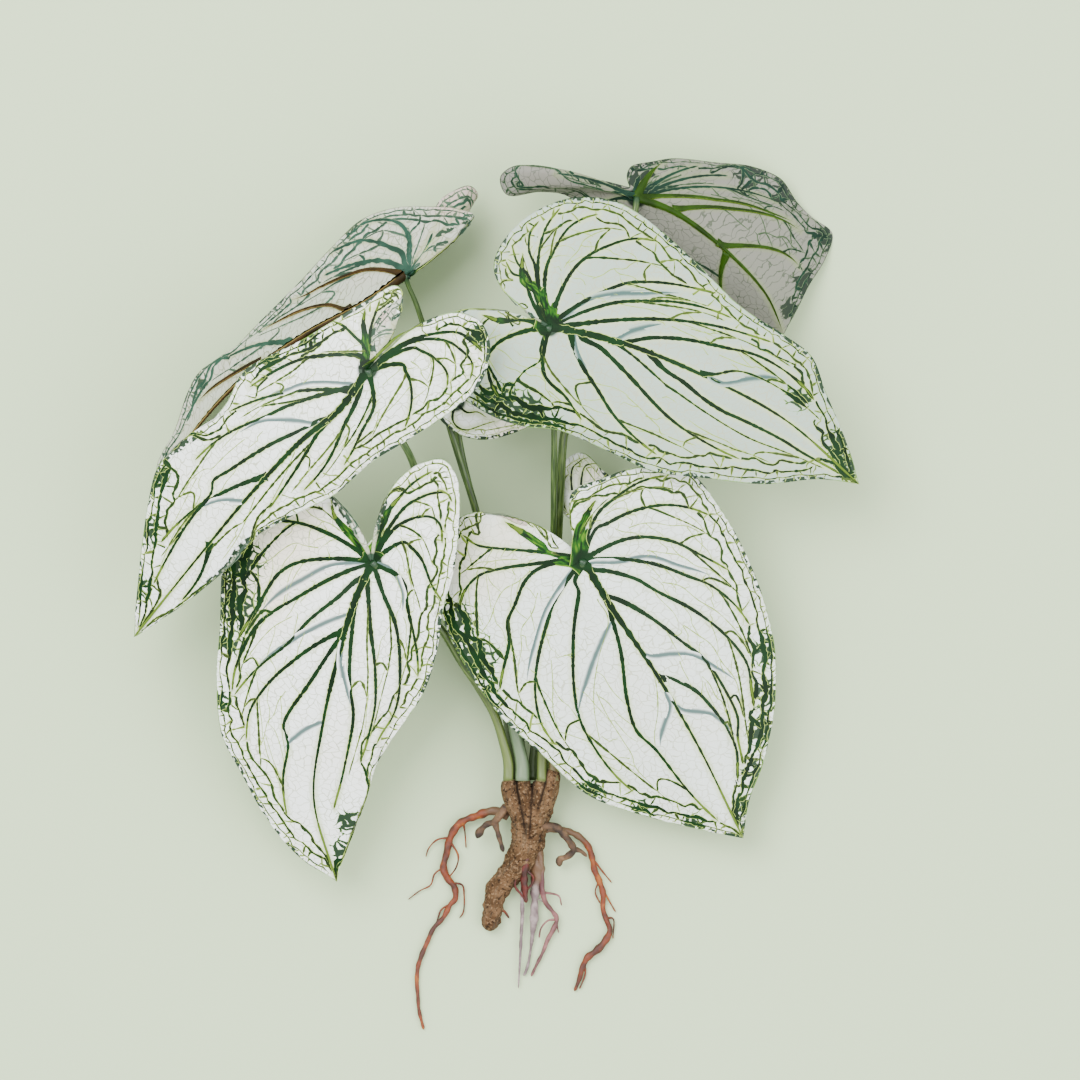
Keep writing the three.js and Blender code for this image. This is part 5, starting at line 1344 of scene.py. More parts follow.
def tubeOf(path, step, sides, shape):
    # a closed tube: rings square to a curve through the points, each ring's offsets aside and up
    # given by the shape for (mm along, place on the path, angle)
    path = np.array(path, float)
    dense = np.linspace(0, len(path) - 1, 40 * len(path))
    arc = arcLength(splineAt(path[:, :3], dense))
    rings = max(4, int(arc[-1] / step))
    along = np.linspace(0, arc[-1], rings)
    place = np.interp(along, arc, dense)
    centre = splineAt(path[:, :3], place)
    ahead = unit(np.gradient(centre, axis=0))
    aside = unit(np.cross([0, 0, 1], ahead))
    up = np.cross(ahead, aside)
    turn = np.linspace(0, 2 * math.pi, sides, endpoint=False)
    wide, deep = shape(along[:, None], place[:, None], turn[None], centre)
    points = (centre[:, None] + aside[:, None] * wide[..., None] + up[:, None] * deep[..., None])
    points[..., 2] = np.maximum(points[..., 2], 0.02)
    k = np.arange(sides)
    i = np.arange(rings - 1)[:, None] * sides
    a, b = (i + k).ravel(), (i + (k + 1) % sides).ravel()
    tris = np.concatenate([np.stack([a, b, b + sides], -1),
                           np.stack([a, b + sides, a + sides], -1)])
    u = np.concatenate([np.stack([k, k + 1, k + 1], -1), np.stack([k, k + 1, k], -1)])
    u = np.concatenate([np.tile(u[:sides], (rings - 1, 1)), np.tile(u[sides:], (rings - 1, 1))])
    v = np.arange(rings)[:, None] + 0 * k
    spots = np.stack([u / sides, v.ravel()[tris] / (rings - 1)], -1)
    flat = points.reshape(-1, 3)
    count = len(flat)
    flat = np.vstack([flat, points[0].mean(axis=0), points[-1].mean(axis=0)])
    last = count - sides
    start = np.stack([np.full(sides, count), (k + 1) % sides, k], -1)
    end = np.stack([np.full(sides, count + 1), last + k, last + (k + 1) % sides], -1)
    capped = np.array([[0.5, 0], [0.52, 0.004], [0.48, 0.004]])
    spots = np.concatenate([spots, np.tile(capped, (sides, 1, 1)),
                            np.tile(capped * [1, -1] + [0, 1], (sides, 1, 1))])
    tris = np.concatenate([tris, start, end])
    values = {"along": np.append(np.repeat(along, sides), [0, along[-1]]),
              "turnX": np.append(np.tile(np.cos(turn), rings), [0, 0]),
              "turnY": np.append(np.tile(np.sin(turn), rings), [0, 0])}
    return flat, tris, values, spots


def joinTubes(tubes):
    # several tubes as one mesh, each in its own column of the map
    points, faces, values, uv, total = [], [], {}, [], 0
    for n, (flat, tris, own, spots) in enumerate(tubes):
        points.append(flat)
        faces.append(tris + total)
        total += len(flat)
        for key, value in own.items():
            values.setdefault(key, []).append(value)
        uv.append(np.clip(spots, 0, 1) * [0.94 / len(tubes), 0.98]
                  + [(n + 0.03) / len(tubes), 0.01])
    return (np.vstack(points), np.vstack(faces),
            {key: np.concatenate(value) for key, value in values.items()}, np.vstack(uv))


def aroundOf(tree, radius, squash):
    # a place on a tube that doesn't slide: its angle as two values, and mm along, squashed
    parts = {}
    for axis, name, size in (("X", "turnX", radius), ("Y", "turnY", radius),
                             ("Z", "along", squash)):
        given = addNode(tree, "ShaderNodeAttribute", {"attribute_name": name}, None, "Fac")
        parts[axis] = addNode(tree, "ShaderNodeMath", times, {0: given, 1: size})
    return addNode(tree, "ShaderNodeCombineXYZ", None, parts)


# each stalk from its blade down to the corm: its middle in mm, turned into mm like the blades'
# points, and its radius
stalks = {
  "lower_right": [
    [43.5, 17, 63, 1.9], [42, 7, 54, 2], [38.5, -13, 44, 2.1], [32.5, -36, 36, 2.3],
    [26, -56, 31, 2.5], [23.5, -74, 25.5, 2.6], [23, -86, 22, 2.7], [23, -94.5, 22, 2.7],
  ],
  "lower_left": [
    [-61.5, 16, 79, 1.7], [-52, 5.5, 66, 1.8], [-38, -7, 55, 1.9], [-27.5, -18, 46.5, 2],
    [-18, -33.5, 41, 2.1], [-8.5, -47.5, 33.5, 2.2], [-1, -61, 28, 2.3], [3.5, -75, 24, 2.4],
    [6, -86, 21.5, 2.6], [6, -94.5, 21.5, 2.6],
  ],
  "middle_left": [
    [-63, 111, 113, 1.7], [-58.5, 98, 100, 1.8], [-51.5, 84, 91, 1.8], [-43, 69.5, 79, 1.9],
    [-36, 49.5, 64, 2], [-28, 29.5, 50.5, 2.1], [-17, 4.5, 44, 2.2], [-5.5, -23.5, 36, 2.4],
    [2, -46, 30, 2.6], [7.5, -61, 26.5, 2.9], [10.5, -74, 24, 3.2], [13, -86, 22, 3.6],
    [13, -94.5, 22, 3.7],
  ],
  "upper_right": [
    [26.5, 133, 89, 1.6], [26, 124, 78, 1.6], [27.5, 102, 66, 1.6], [29, 81.5, 56, 1.5],
    [29, 57, 46, 1.6], [28.5, 25.5, 37, 1.7], [25.5, -8.5, 29, 1.9], [22.5, -43.5, 20, 2.1],
    [20, -71.5, 14.5, 2.3], [18.5, -86, 12, 2.4], [18.5, -94.5, 12, 2.4],
  ],
  "upper_left": [
    [-45.5, 160, 51, 1.3], [-44, 154.5, 48.5, 1.3], [-41.5, 149, 47.5, 1.3],
    [-37, 136, 45.5, 1.4], [-30.5, 110, 40, 1.6], [-23.5, 84.5, 34, 1.8], [-17.5, 65, 30, 1.9],
    [-10, 40.5, 26, 2], [-4.5, 12, 22, 2.1], [0.5, -23.5, 18, 2.1], [4, -54, 15, 2.2],
    [7, -76.5, 12.5, 2.2], [8.5, -87, 12, 2.3], [8.5, -94.5, 12, 2.3],
  ],
  "top_right": [
    [70.5, 198.5, 47, 1.6], [70, 193.5, 49.5, 1.6], [66, 177.5, 51, 1.6], [58, 152.5, 50, 1.7],
    [49.5, 125, 48.5, 1.8], [41, 100, 46, 2], [34.5, 81.5, 43, 2.2], [32.5, 57, 38, 2.2],
    [31, 25.5, 30.5, 2.2], [30.5, -8.5, 28, 2.3], [30, -43.5, 25, 2.4], [29.5, -71.5, 23, 2.5],
    [29, -85, 22, 2.6], [29, -94.5, 22, 2.6],
  ],
  "small_centre": [
    [-20.5, 96.5, 45, 1.4], [-20, 91.5, 36, 1.4], [-19.5, 83.5, 28, 1.5], [-18, 74, 24, 1.5],
    [-14.5, 58, 21, 1.6], [-10, 40.5, 19, 1.7], [-3.5, 12, 15.5, 1.7], [3, -23.5, 13, 1.8],
    [9, -54, 12, 1.8], [12.5, -77, 11.5, 1.9], [14, -87, 11.5, 1.9], [14, -94.5, 11.5, 1.9],
  ],
  "small_right": [
    [47, 32, 34, 1.6], [46, 24.5, 28, 1.6], [43, 12, 24.5, 1.7], [38, -8.5, 21, 1.8],
    [33, -33.5, 17, 2], [28, -64, 13, 2.1], [25, -86, 11.5, 2.2], [25, -94.5, 11.5, 2.2],
  ],
}
# the green of a stalk, its dark and pale streaks, and its foot, for every kind there is
stalkLooks = {
    "green": {"fresh": "#546C2C", "dark": "#2D4514", "pale": "#829359", "foot": "#5F6C36",
              "top": "#14351A"},
    "bluish": {"fresh": "#5F7646", "dark": "#364F24", "pale": "#909C7C", "foot": "#67795F",
               "top": "#14351A"},
    "shaded": {"fresh": "#455E26", "dark": "#243A10", "pale": "#708346", "foot": "#41512D",
               "top": "#14351A"},
    "brownish": {"fresh": "#546C2C", "dark": "#2D4514", "pale": "#829359", "foot": "#6C5838",
                 "top": "#14351A"},
}
stalkKinds = {"middle_left": "bluish", "upper_right": "shaded", "small_centre": "shaded",
              "upper_left": "shaded", "top_right": "brownish"}


def stalkFinish(name, look):
    # a juicy green stalk with a thin wax bloom: long streaks, paler at its foot, painted shade
    # along its left and right sides as seen from above, darker where it meets the blade, low gloss
    material, tree, _ = startFinish(name)
    given = {key: addNode(tree, "ShaderNodeAttribute", {"attribute_name": key}, None, "Fac")
             for key in ("foot", "turnX", "along")}
    # streaks about 1 mm wide and 25 mm long
    streak = addNode(tree, "ShaderNodeTexNoise", None,
                     {"Vector": aroundOf(tree, 1.6, 0.06), "Scale": 1.6, "Detail": 3.0})
    fresh = addNode(tree, "ShaderNodeMapRange", smooth, {0: streak, 1: 0.38, 2: 0.62})
    pale = addNode(tree, "ShaderNodeMapRange", smooth, {0: streak, 1: 0.58, 2: 0.75, 4: 0.7})
    foot = addNode(tree, "ShaderNodeMapRange", smooth,
                   {0: given["foot"], 1: 8.0, 2: 80.0, 3: 0.75, 4: 0.0})
    top = addNode(tree, "ShaderNodeMapRange", smooth,
                  {0: given["along"], 1: 1.0, 2: 7.0, 3: 1.0, 4: 0.0})
    # painted shade: darker towards the stalk's sides, where it turns away from above
    side = addNode(tree, "ShaderNodeMath", {"operation": "ABSOLUTE"}, {0: given["turnX"]})
    side = addNode(tree, "ShaderNodeMapRange", smooth, {0: side, 1: 0.72, 2: 1.0, 4: 0.75})
    colour = linear(look["dark"])
    for amount, over in ((fresh, "fresh"), (pale, "pale"), (foot, "foot"), (side, "dark"),
                         (top, "top")):
        colour = addNode(tree, "ShaderNodeMix", colours,
                         {0: amount, 6: colour, 7: linear(look[over])}, 2)
    bump = addNode(tree, "ShaderNodeBump", None,
                   {"Height": streak, "Distance": 0.0002, "Strength": 0.5})
    endFinish(tree, {"Base Color": colour, "Normal": bump, "Roughness": 0.42})
    return material


def stalkShape(path, name):
    # a round stalk with a shallow groove down its upper side, swelling a little as it goes
    radii = path[:, 3]

    def shape(along, place, turn, centre):
        radius = np.interp(place, np.arange(len(radii)), radii)
        groove = 1 - 0.1 * np.exp(-((turn - math.pi / 2) / 0.5) ** 2)
        swell = 1 + 0.04 * np.sin(along * 0.11 + len(name))
        return radius * swell * np.cos(turn), radius * swell * groove * np.sin(turn)
    return shape


stalkSkins = {kind: stalkFinish("leaf_stalk_" + kind, look) for kind, look in stalkLooks.items()}
for name, path in stalks.items():
    path = np.array(path)
    points, faces, values, uv = joinTubes([tubeOf(path, 2.0, 20, stalkShape(path, name))])
    values["foot"] = values["along"].max() - values["along"]
    skin = stalkSkins[stalkKinds.get(name, "green")]
    thing = newMesh("petiole_" + name, points, faces, [skin], values, uv)
    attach(thing, "root")
    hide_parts("stalk_" + name)
print("leaf stalks")


cormBody = [
    [17.5, -97, 15.5, 9, 6.5], [17.5, -101, 15, 12, 8.6], [17.5, -106, 14, 12, 9.6],
    [17, -112, 12.4, 10.4, 10], [16.5, -120, 9.8, 8.6, 9.5], [15.5, -127.5, 8.7, 8.2, 9],
    [12.5, -134, 8, 7.4, 8.2], [8.5, -140, 7, 6.6, 7], [3.8, -146, 6.2, 5.8, 6],
    [0.3, -150.5, 5.6, 6.1, 5.6], [-1.2, -156, 5.2, 5, 4.8], [-2, -161, 5, 4.7, 4.6],
    [-3, -166, 4.9, 4.8, 4.7], [-3.4, -171.3, 4.7, 4, 4],
]
# the neck's four fused leaf sheaths, in the same mm: each from its lip down to where it merges
sheaths = {
    "left": [[6, -92.5, 21, 3.1, 3.4], [6.5, -97, 20.5, 4.5, 4.6], [8.2, -104, 18.5, 4.8, 5.2],
             [11, -112, 15.5, 4.2, 5.2], [13, -119, 13, 3.2, 4.8]],
    "middle": [[13.2, -92.5, 21.5, 3.8, 4], [13.6, -98, 20.5, 3.9, 5], [14.4, -106, 18, 3.5, 5.2],
               [15.4, -114, 15.5, 3.2, 5], [16, -121, 13, 3, 4.6]],
    "inner": [[22.8, -93, 21.5, 3, 3.4], [22.3, -98, 21, 4.6, 5.1], [21.5, -106, 18.5, 4.8, 5.4],
              [19.5, -114, 15.5, 4.2, 5.2], [18, -121, 13, 3.4, 4.6]],
    "outer": [[28.8, -87, 21.5, 2.8, 3], [28, -93, 20.5, 4.2, 4.4], [26.5, -100, 19, 5, 5.4],
              [23.5, -108, 16.5, 4.8, 5.6], [20.5, -115, 14, 4.4, 5.2], [18.5, -122, 12, 3.6, 4.6]],
}
# the dark lines between the sheaths: places down the corm, and how far right the line is there
grooves = ([[90, 100, 112, 126], [9.9, 10.6, 13.2, 15.2]],
           [[90, 100, 112, 126], [18.4, 18.0, 17.2, 16.6]],
           [[88, 96, 104, 114], [25.6, 24.6, 22.5, 19.5]])
cormLook = {
    "earth": "#48331F", "dark": "#180F08", "light": "#6A5037", "bare": "#856B4F",
    "grey": "#433F34", "green": "#6E754C",
    "knobs": 1.5, "sheathKnobs": 0.4,      # mm
    "uneven": {"speck": (1.9, 4.0, 0.7), "pale": (1.3, 3.0, 0.6), "broad": (9, 2.0, 0.5)},
}


def cormFinish(name, look):
    # a corm's dry skin: dull brown, fibrous along it, thick with dark and light specks
    material, tree, where = startFinish(name)
    given = {key: addNode(tree, "ShaderNodeAttribute", {"attribute_name": key}, None, "Fac")
             for key in ("lip", "groove")}
    uneven = {key: addNode(tree, "ShaderNodeTexNoise", None,
                           {"Vector": where, "Scale": 1000 / size, "Detail": detail,
                            "Roughness": rough})
              for key, (size, detail, rough) in look["uneven"].items()}
    # fibres about 1 mm wide and 9 mm long
    fibre = addNode(tree, "ShaderNodeTexNoise", None,
                    {"Vector": aroundOf(tree, 6.0, 0.12), "Scale": 0.9, "Detail": 3.0})
    broad = addNode(tree, "ShaderNodeMapRange", smooth, {0: uneven["broad"], 1: 0.35, 2: 0.65})
    grey = addNode(tree, "ShaderNodeMapRange", smooth, {0: fibre, 1: 0.5, 2: 0.7, 4: 0.6})
    bare = addNode(tree, "ShaderNodeMapRange", smooth,
                   {0: uneven["pale"], 1: 0.54, 2: 0.62, 4: 0.7})
    dark = addNode(tree, "ShaderNodeMapRange", smooth,
                   {0: uneven["speck"], 1: 0.52, 2: 0.62, 4: 0.85})
    lip = addNode(tree, "ShaderNodeMapRange", smooth,
                  {0: given["lip"], 1: 1.0, 2: 2.2, 3: 0.8, 4: 0.0})
    colour = linear(look["earth"])
    for amount, over in ((broad, "light"), (grey, "grey"), (bare, "bare"), (dark, "dark"),
                         (given["groove"], "dark"), (lip, "green")):
        colour = addNode(tree, "ShaderNodeMix", colours,
                         {0: amount, 6: colour, 7: linear(look[over])}, 2)
    height = addNode(tree, "ShaderNodeMath", product, {0: fibre, 1: 0.8, 2: uneven["speck"]})
    bump = addNode(tree, "ShaderNodeBump", None,
                   {"Height": height, "Distance": 0.001, "Strength": 0.8})
    endFinish(tree, {"Base Color": colour, "Normal": bump, "Roughness": 0.85,
                     "Specular IOR Level": 0.15})
    return material


def cormShape(path, knobs, lipped):
    # the listed widths with knobs and dents of about 4.5 and 2 mm, rounded off at its end and,
    # where it has a lip, a little at its start
    def shape(along, place, turn, centre):
        wide = np.interp(place, np.arange(len(path)), path[:, 3])
        deep = np.interp(place, np.arange(len(path)), path[:, 4])
        c, s = np.cos(turn), np.sin(turn)
        spot = np.stack([wide * c + path[0, 0], wide * s, along + 0 * turn], -1)
        rough = knobs * (0.5 * wander(spot, 4.5, 21) + 0.25 * wander(spot, 2.1, 22))
        left = np.clip((along[-1] - along) / 4, 0, 1)
        first = np.clip(along / 2.5, 0, 1) if lipped else 1
        taper = np.sqrt(np.maximum(1 - (1 - left) ** 2, 0.02)) * np.sqrt(np.maximum(first, 0.6))
        return (wide + rough) * taper * c, (deep + rough) * taper * s
    return shape


cormSkin = cormFinish("corm_skin", cormLook)
body = np.array(cormBody)
parts = [tubeOf(body, 0.6, 90, cormShape(body, cormLook["knobs"], False))]
parts[0][2]["lip"] = parts[0][2]["along"] + 20
for path in sheaths.values():
    path = np.array(path)
    parts.append(tubeOf(path, 0.6, 48, cormShape(path, cormLook["sheathKnobs"], True)))
    parts[-1][2]["lip"] = parts[-1][2]["along"]
points, faces, values, uv = joinTubes(parts)
values["groove"] = np.zeros(len(points))
for down, right in grooves:
    # strongest at the top, gone at the lower end, and about 1.5 mm wide
    part = np.clip((down[-1] + points[:, 1]) / 8, 0, 1)
    aside = points[:, 0] - np.interp(-points[:, 1], down, right)
    values["groove"] = np.maximum(values["groove"], part * np.exp(-(aside / 0.75) ** 2))
thing = newMesh("corm_body", points, faces, [cormSkin], values, uv)
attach(thing, "root")
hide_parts("corm")
print("corm", len(faces))


# each root as its strands, main one first: their middle in mm, turned into mm in the same way,
# and their radius
roots = {
  "root_orange_left": [
    [
      [6, -113, 10, 2.4], [1, -110.5, 9, 2.3], [-3.5, -110.5, 7.5, 2.2], [-10.5, -113, 6, 2],
      [-16, -115, 5, 1.9], [-20, -118, 4, 1.9], [-23.5, -124, 3.4, 1.9], [-25.5, -132.5, 3, 1.8],
      [-27, -139, 2.8, 1.8], [-25, -144.5, 2.7, 1.7], [-21.5, -149, 2.6, 1.6],
      [-21, -155, 2.5, 1.5], [-23.5, -158, 2.4, 1.5], [-27, -164.5, 2.3, 1.4],
      [-32, -170, 2.2, 1.3], [-35, -176.5, 2, 1.3], [-38, -183.5, 1.9, 1.2], [-40, -190, 1.8, 1.1],
      [-40.5, -197.5, 1.7, 1.1], [-40, -204, 1.6, 1], [-39.5, -211, 1.5, 0.9],
      [-37, -221.5, 1.3, 0.7],
    ],
    [
      [-23.5, -124, 3.4, 0.9], [-30, -125, 2.8, 0.8], [-34.5, -129.5, 2, 0.6],
      [-36, -134, 1.4, 0.5],
    ],
    [
      [-17, -115.5, 5, 0.9], [-16, -122, 3, 0.7], [-15.5, -129.5, 1.6, 0.5],
    ],
    [
      [-23.5, -126, 3.6, 1], [-19.5, -133, 4, 0.8], [-20.5, -139, 3.2, 0.7],
      [-24.5, -144.5, 2.7, 0.7],
    ],
    [
      [-27, -139, 2.8, 0.9], [-31.5, -142.5, 2.2, 0.8], [-33.5, -148, 1.8, 0.7],
      [-39, -151, 1.5, 0.6], [-45, -155.5, 1.2, 0.4],
    ],
    [
      [-22.5, -147, 2.7, 0.9], [-17.5, -148, 2.2, 0.8], [-16.5, -153.5, 1.8, 0.7],
      [-17, -162, 1.4, 0.6], [-19, -165, 1.2, 0.5],
    ],
    [
      [-23, -157.5, 2.4, 0.9], [-28, -160.5, 1.8, 0.7], [-30, -165.5, 1.4, 0.6],
      [-31, -169, 2.1, 0.6],
    ],
  ],
  "root_brown_left": [
    [
      [5, -107.5, 16, 1.5], [1.5, -112.5, 15, 1.4], [-1, -115.5, 13.5, 1.3], [-5, -117, 12, 1.2],
      [-8, -120, 10.5, 1.3], [-10, -124, 9.5, 2],
    ],
    [
      [-1, -115.5, 13.5, 1.1], [1.5, -124, 13, 0.9], [3.5, -131, 12, 0.7],
    ],
  ],
  "root_orange_right": [
    [
      [22.5, -119.5, 10, 2], [30.5, -119.5, 8.5, 1.8], [36, -120.5, 7, 1.7],
      [42, -123.5, 5.5, 1.6], [46.5, -128.5, 4.4, 1.6], [48.5, -134.5, 3.6, 1.5],
      [49.5, -140, 3, 1.5], [52.5, -147, 2.6, 1.5], [54, -152.5, 2.5, 1.4], [54, -160.5, 2.3, 1.4],
      [56, -166.5, 2.2, 1.4], [57.5, -171, 2.2, 1.5], [55, -176.5, 2.3, 1.7], [51, -181, 2.4, 1.9],
      [46, -185, 2.3, 1.9], [43.5, -190, 2.1, 1.5], [42, -195.5, 1.8, 1.1], [39.5, -202, 1.4, 0.7],
    ],
    [
      [49.5, -135.5, 3.4, 0.9], [54, -141.5, 2.4, 0.7], [58.5, -147, 1.4, 0.5],
    ],
    [
      [52, -146, 2.6, 0.9], [50, -151.5, 1.8, 0.6], [52.5, -157.5, 1.8, 0.6],
    ],
    [
      [53.5, -149, 2.5, 0.9], [56.5, -155, 1.8, 0.7], [60.5, -162, 1.3, 0.5],
    ],
    [
      [55.5, -165, 2.2, 0.9], [59, -165, 1.8, 0.7], [59, -175.5, 1.3, 0.5],
    ],
    [
      [44.5, -187, 2.2, 1], [45, -193, 1.6, 0.7], [42, -201, 1.6, 0.7],
    ],
  ],
  "root_brown_right": [
    [
      [22.5, -117, 16, 1.6], [30.5, -118.5, 14.5, 1.4], [34, -122, 13, 1.3],
      [37.5, -126.5, 11, 1.2], [39, -130, 9.5, 1.2], [35.5, -133.5, 8, 1.2], [32, -135, 7, 1.4],
      [32, -138.5, 6.5, 2.1],
    ],
    [
      [38.5, -129.5, 9.5, 0.9], [42.5, -130.5, 8.5, 0.8], [46, -133.5, 7.5, 0.6],
    ],
  ],
  "root_red": [
    [
      [17, -131.5, 14, 2.2], [14.5, -137.5, 13, 1.9], [14, -145.5, 10, 1.7], [14.5, -152, 8, 1.5],
      [15, -157, 7, 1],
    ],
    [
      [14, -138, 13, 1], [10, -143.5, 11.5, 0.9], [9.5, -148.5, 10.5, 0.9], [12, -152, 9.2, 0.9],
      [15, -156, 7.5, 0.8],
    ],
    [
      [15, -140, 12, 1], [18.5, -143.5, 11, 0.9], [18, -147, 9.8, 0.9], [15, -150.5, 8.5, 0.9],
    ],
  ],
  "root_white_left": [
    [
      [14, -139, 6, 1.6], [13.5, -148, 5, 1.4], [13, -156.5, 4.3, 1.1], [13, -164, 4, 1],
      [12.5, -172, 3.6, 0.9], [12, -183.5, 3, 0.7], [11, -200.5, 2, 0.35],
    ],
  ],
  "root_white_right": [
    [
      [20, -126, 9, 3.6], [20.7, -137, 8, 3.7], [20.6, -144, 6.5, 3.2], [19.8, -149, 5.2, 2.4],
      [19.3, -156, 4.3, 2], [19, -165, 3.6, 2.2], [18.4, -171, 3, 1.4], [17.6, -178, 2.2, 0.8],
      [16.4, -186, 1.6, 0.6], [14.8, -192, 1.5, 0.8], [13.6, -194.2, 1.5, 1.2],
    ],
    [
      [19.5, -154, 4.8, 0.8], [23.5, -156.5, 3.6, 0.5], [26, -158.5, 2.6, 0.4],
    ],
  ],
  "root_pink": [
    [
      [20.5, -127, 11, 1.6], [22.2, -135, 10, 1.6], [23, -142.5, 8.5, 1.3], [23.2, -150.5, 7, 1.3],
      [25, -157, 5.5, 1.3], [28.5, -161.5, 4.3, 1.2], [30.5, -165, 3.6, 1.2], [29, -170, 3, 1.2],
      [26, -175.5, 2.6, 1.1], [23.5, -182, 2.2, 1], [20.5, -188, 1.9, 0.9],
      [17.5, -194.5, 1.5, 0.6],
    ],
    [
      [30, -165.5, 3.6, 0.9], [26, -166, 4.6, 0.8], [22.5, -170, 4, 0.8], [21.5, -175, 3, 0.6],
    ],
    [
      [30, -165.5, 3.5, 0.9], [31.5, -172.5, 2, 0.5],
    ],
    [
      [22.5, -151.5, 7, 1], [26.5, -152, 6, 0.9], [31.5, -153.5, 5, 0.8], [33, -158.5, 4, 0.6],
    ],
  ],
  "root_hook": [
    [
      [0, -160, 5, 0.9], [3.5, -161, 4, 0.8], [6.5, -165, 3, 0.5],
    ],
  ],
}
# each root's skin, dark bands, pale ends and roughness; its slot; how stout it is beside the
# listed radii; and how soon it loses the corm's brown (mm are multiplied by this)
rootLooks = {
    "orange": {"body": "#6E2B03", "dark": "#3C1402", "light": "#9C5A0B", "rough": 0.6},
    "brown": {"body": "#5A4029", "dark": "#26190F", "light": "#846748", "rough": 0.75},
    "red": {"body": "#531005", "dark": "#2E0802", "light": "#7A260F", "rough": 0.5},
    "pale": {"body": "#8E7E7C", "dark": "#614F51", "light": "#B8ADA9", "rough": 0.5},
    "pink": {"body": "#7E4F4D", "dark": "#4F282A", "light": "#AE8985", "rough": 0.5},
}
rootKinds = {"root_orange_left": ("orange", 1.0), "root_orange_right": ("orange", 0.5),
             "root_brown_left": ("brown", 40.0), "root_brown_right": ("brown", 40.0),
             "root_red": ("red", 40.0), "root_hook": ("orange", 40.0),
             "root_white_left": ("pale", 40.0), "root_white_right": ("pale", 0.55),
             "root_pink": ("pink", 0.8)}
rootScale = {"brown": 1.4, "side": 0.65}       # the brown ones are stout, side roots fine


def rootFinish(name, look):
    # a washed root: a smooth thin skin with darker bands and paler stretches
    material, tree, where = startFinish(name)
    foot = addNode(tree, "ShaderNodeAttribute", {"attribute_name": "foot"}, None, "Fac")
    broad = addNode(tree, "ShaderNodeTexNoise", None,
                    {"Vector": where, "Scale": 1000 / 6, "Detail": 3.0})
    fine = addNode(tree, "ShaderNodeTexNoise", None, {"Vector": where, "Scale": 1000 / 1.3})
    body = addNode(tree, "ShaderNodeMapRange", smooth, {0: broad, 1: 0.35, 2: 0.6})
    light = addNode(tree, "ShaderNodeMapRange", smooth, {0: broad, 1: 0.58, 2: 0.75, 4: 0.7})
    dark = addNode(tree, "ShaderNodeMapRange", smooth, {0: fine, 1: 0.55, 2: 0.7, 4: 0.4})
    # brown like the corm where it leaves it
    foot = addNode(tree, "ShaderNodeMapRange", smooth, {0: foot, 1: 9.0, 2: 15.0, 3: 1.0, 4: 0.0})
    colour = linear(look["dark"])
    for amount, over in ((body, look["body"]), (light, look["light"]), (dark, look["dark"]),
                         (foot, rootLooks["brown"]["body"])):
        colour = addNode(tree, "ShaderNodeMix", colours, {0: amount, 6: colour, 7: linear(over)}, 2)
    bump = addNode(tree, "ShaderNodeBump", None,
                   {"Height": fine, "Distance": 0.0003, "Strength": 0.6})
    endFinish(tree, {"Base Color": colour, "Normal": bump, "Roughness": look["rough"]})
    return material


def rootShape(radii):
    # round with uneven swellings of about 3 mm, drawn in over its last stretch
    def shape(along, place, turn, centre):
        radius = np.interp(place, np.arange(len(radii)), radii)
        bump = 1 + 0.16 * wander(centre, 3.2, 31)[:, None] + 0.08 * np.sin(2 * turn + along)
        left = np.clip((along[-1] - along) / (2 * radii[-1]), 0, 1)
        taper = np.sqrt(np.maximum(1 - (1 - left) ** 2, 0.02))
        return radius * bump * taper * np.cos(turn), radius * bump * taper * np.sin(turn)
    return shape


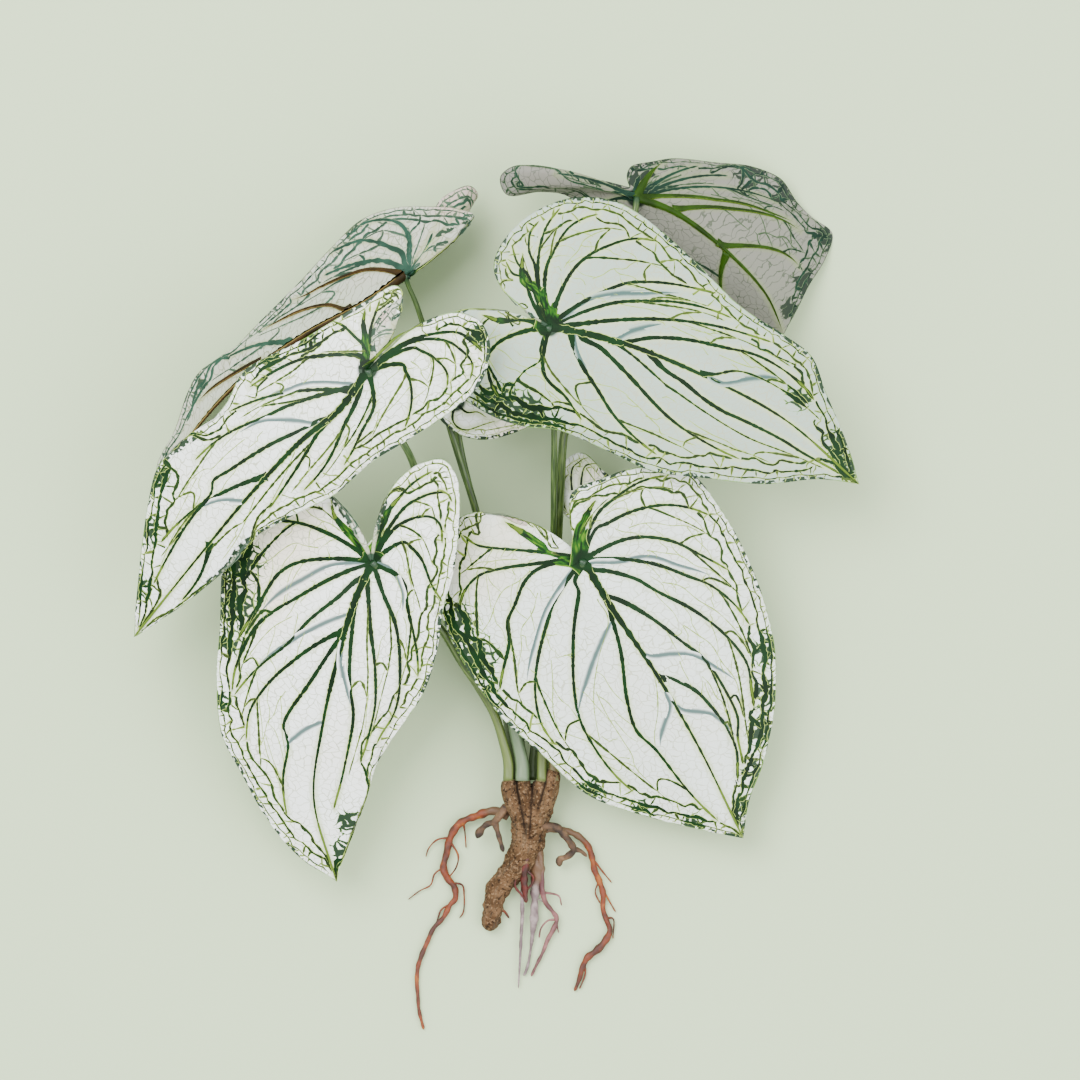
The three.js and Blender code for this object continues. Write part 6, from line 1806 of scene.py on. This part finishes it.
rootSkins = {kind: rootFinish("root_" + kind + "_skin", look) for kind, look in rootLooks.items()}
for name, strands in roots.items():
    kind, sooner = rootKinds[name]
    tubes = []
    for strand in strands:
        scale = rootScale["brown"] if kind == "brown" else rootScale["side"] if tubes else 1.0
        radii = np.array(strand)[:, 3] * scale
        tubes.append(tubeOf(strand, 0.8, 14, rootShape(radii)))
        along = tubes[-1][2]["along"]
        tubes[-1][2]["foot"] = along * sooner if len(tubes) == 1 else along + 40
    points, faces, values, uv = joinTubes(tubes)
    thing = newMesh("fine_" + name, points, faces, [rootSkins[kind]], values, uv)
    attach(thing, "root")
    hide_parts(name)
print("roots")


studio = {
    "lookAt": (0.0215, 0.02818), "height": 4.0, "lens": 262.667, "sensor": 36,
    "floor": "#BED2AA", "reach": 3.0, "sky": 1.65,
    # soft boxes: where, how wide, and how many watts
    "lamps": {"key": ((-0.9, 0.9, 2.2), 1.6, 91), "fill": ((1.3, -0.6, 2.0), 1.8, 44)},
}
mesh = bpy.data.meshes.new("floor")
corners = np.array([(-1, -1, 0), (1, -1, 0), (1, 1, 0), (-1, 1, 0)]) * studio["reach"]
mesh.from_pydata(corners.tolist(), [], [(0, 1, 2, 3)])
floor = bpy.data.objects.new("floor", mesh)
bpy.context.scene.collection.objects.link(floor)
# matt painted board, pale green
material, tree, _ = startFinish("pale_painted_board")
endFinish(tree, {"Base Color": linear(studio["floor"]), "Roughness": 0.9,
                 "Specular IOR Level": 0.1})
mesh.materials.append(material)

for name, (place, size, power) in studio["lamps"].items():
    lamp = bpy.data.lights.new(name, "AREA")
    lamp.size, lamp.energy = size, power
    thing = bpy.data.objects.new(name, lamp)
    thing.location = place
    thing.rotation_euler = (-Vector(place)).to_track_quat("-Z", "Y").to_euler()
    bpy.context.scene.collection.objects.link(thing)

world = bpy.data.worlds.new("studio")
world.use_nodes = True
world.node_tree.nodes["Background"].inputs[0].default_value = (1, 1, 1, 1)
world.node_tree.nodes["Background"].inputs[1].default_value = studio["sky"]
bpy.context.scene.world = world

lens = bpy.data.cameras.new("camera")
lens.lens, lens.sensor_width = studio["lens"], studio["sensor"]
lens.clip_start, lens.clip_end = 0.1, 20
camera = bpy.data.objects.new("camera", lens)
camera.location = (*studio["lookAt"], studio["height"])
bpy.context.scene.collection.objects.link(camera)
bpy.context.scene.camera = camera
print("floor, light and camera")
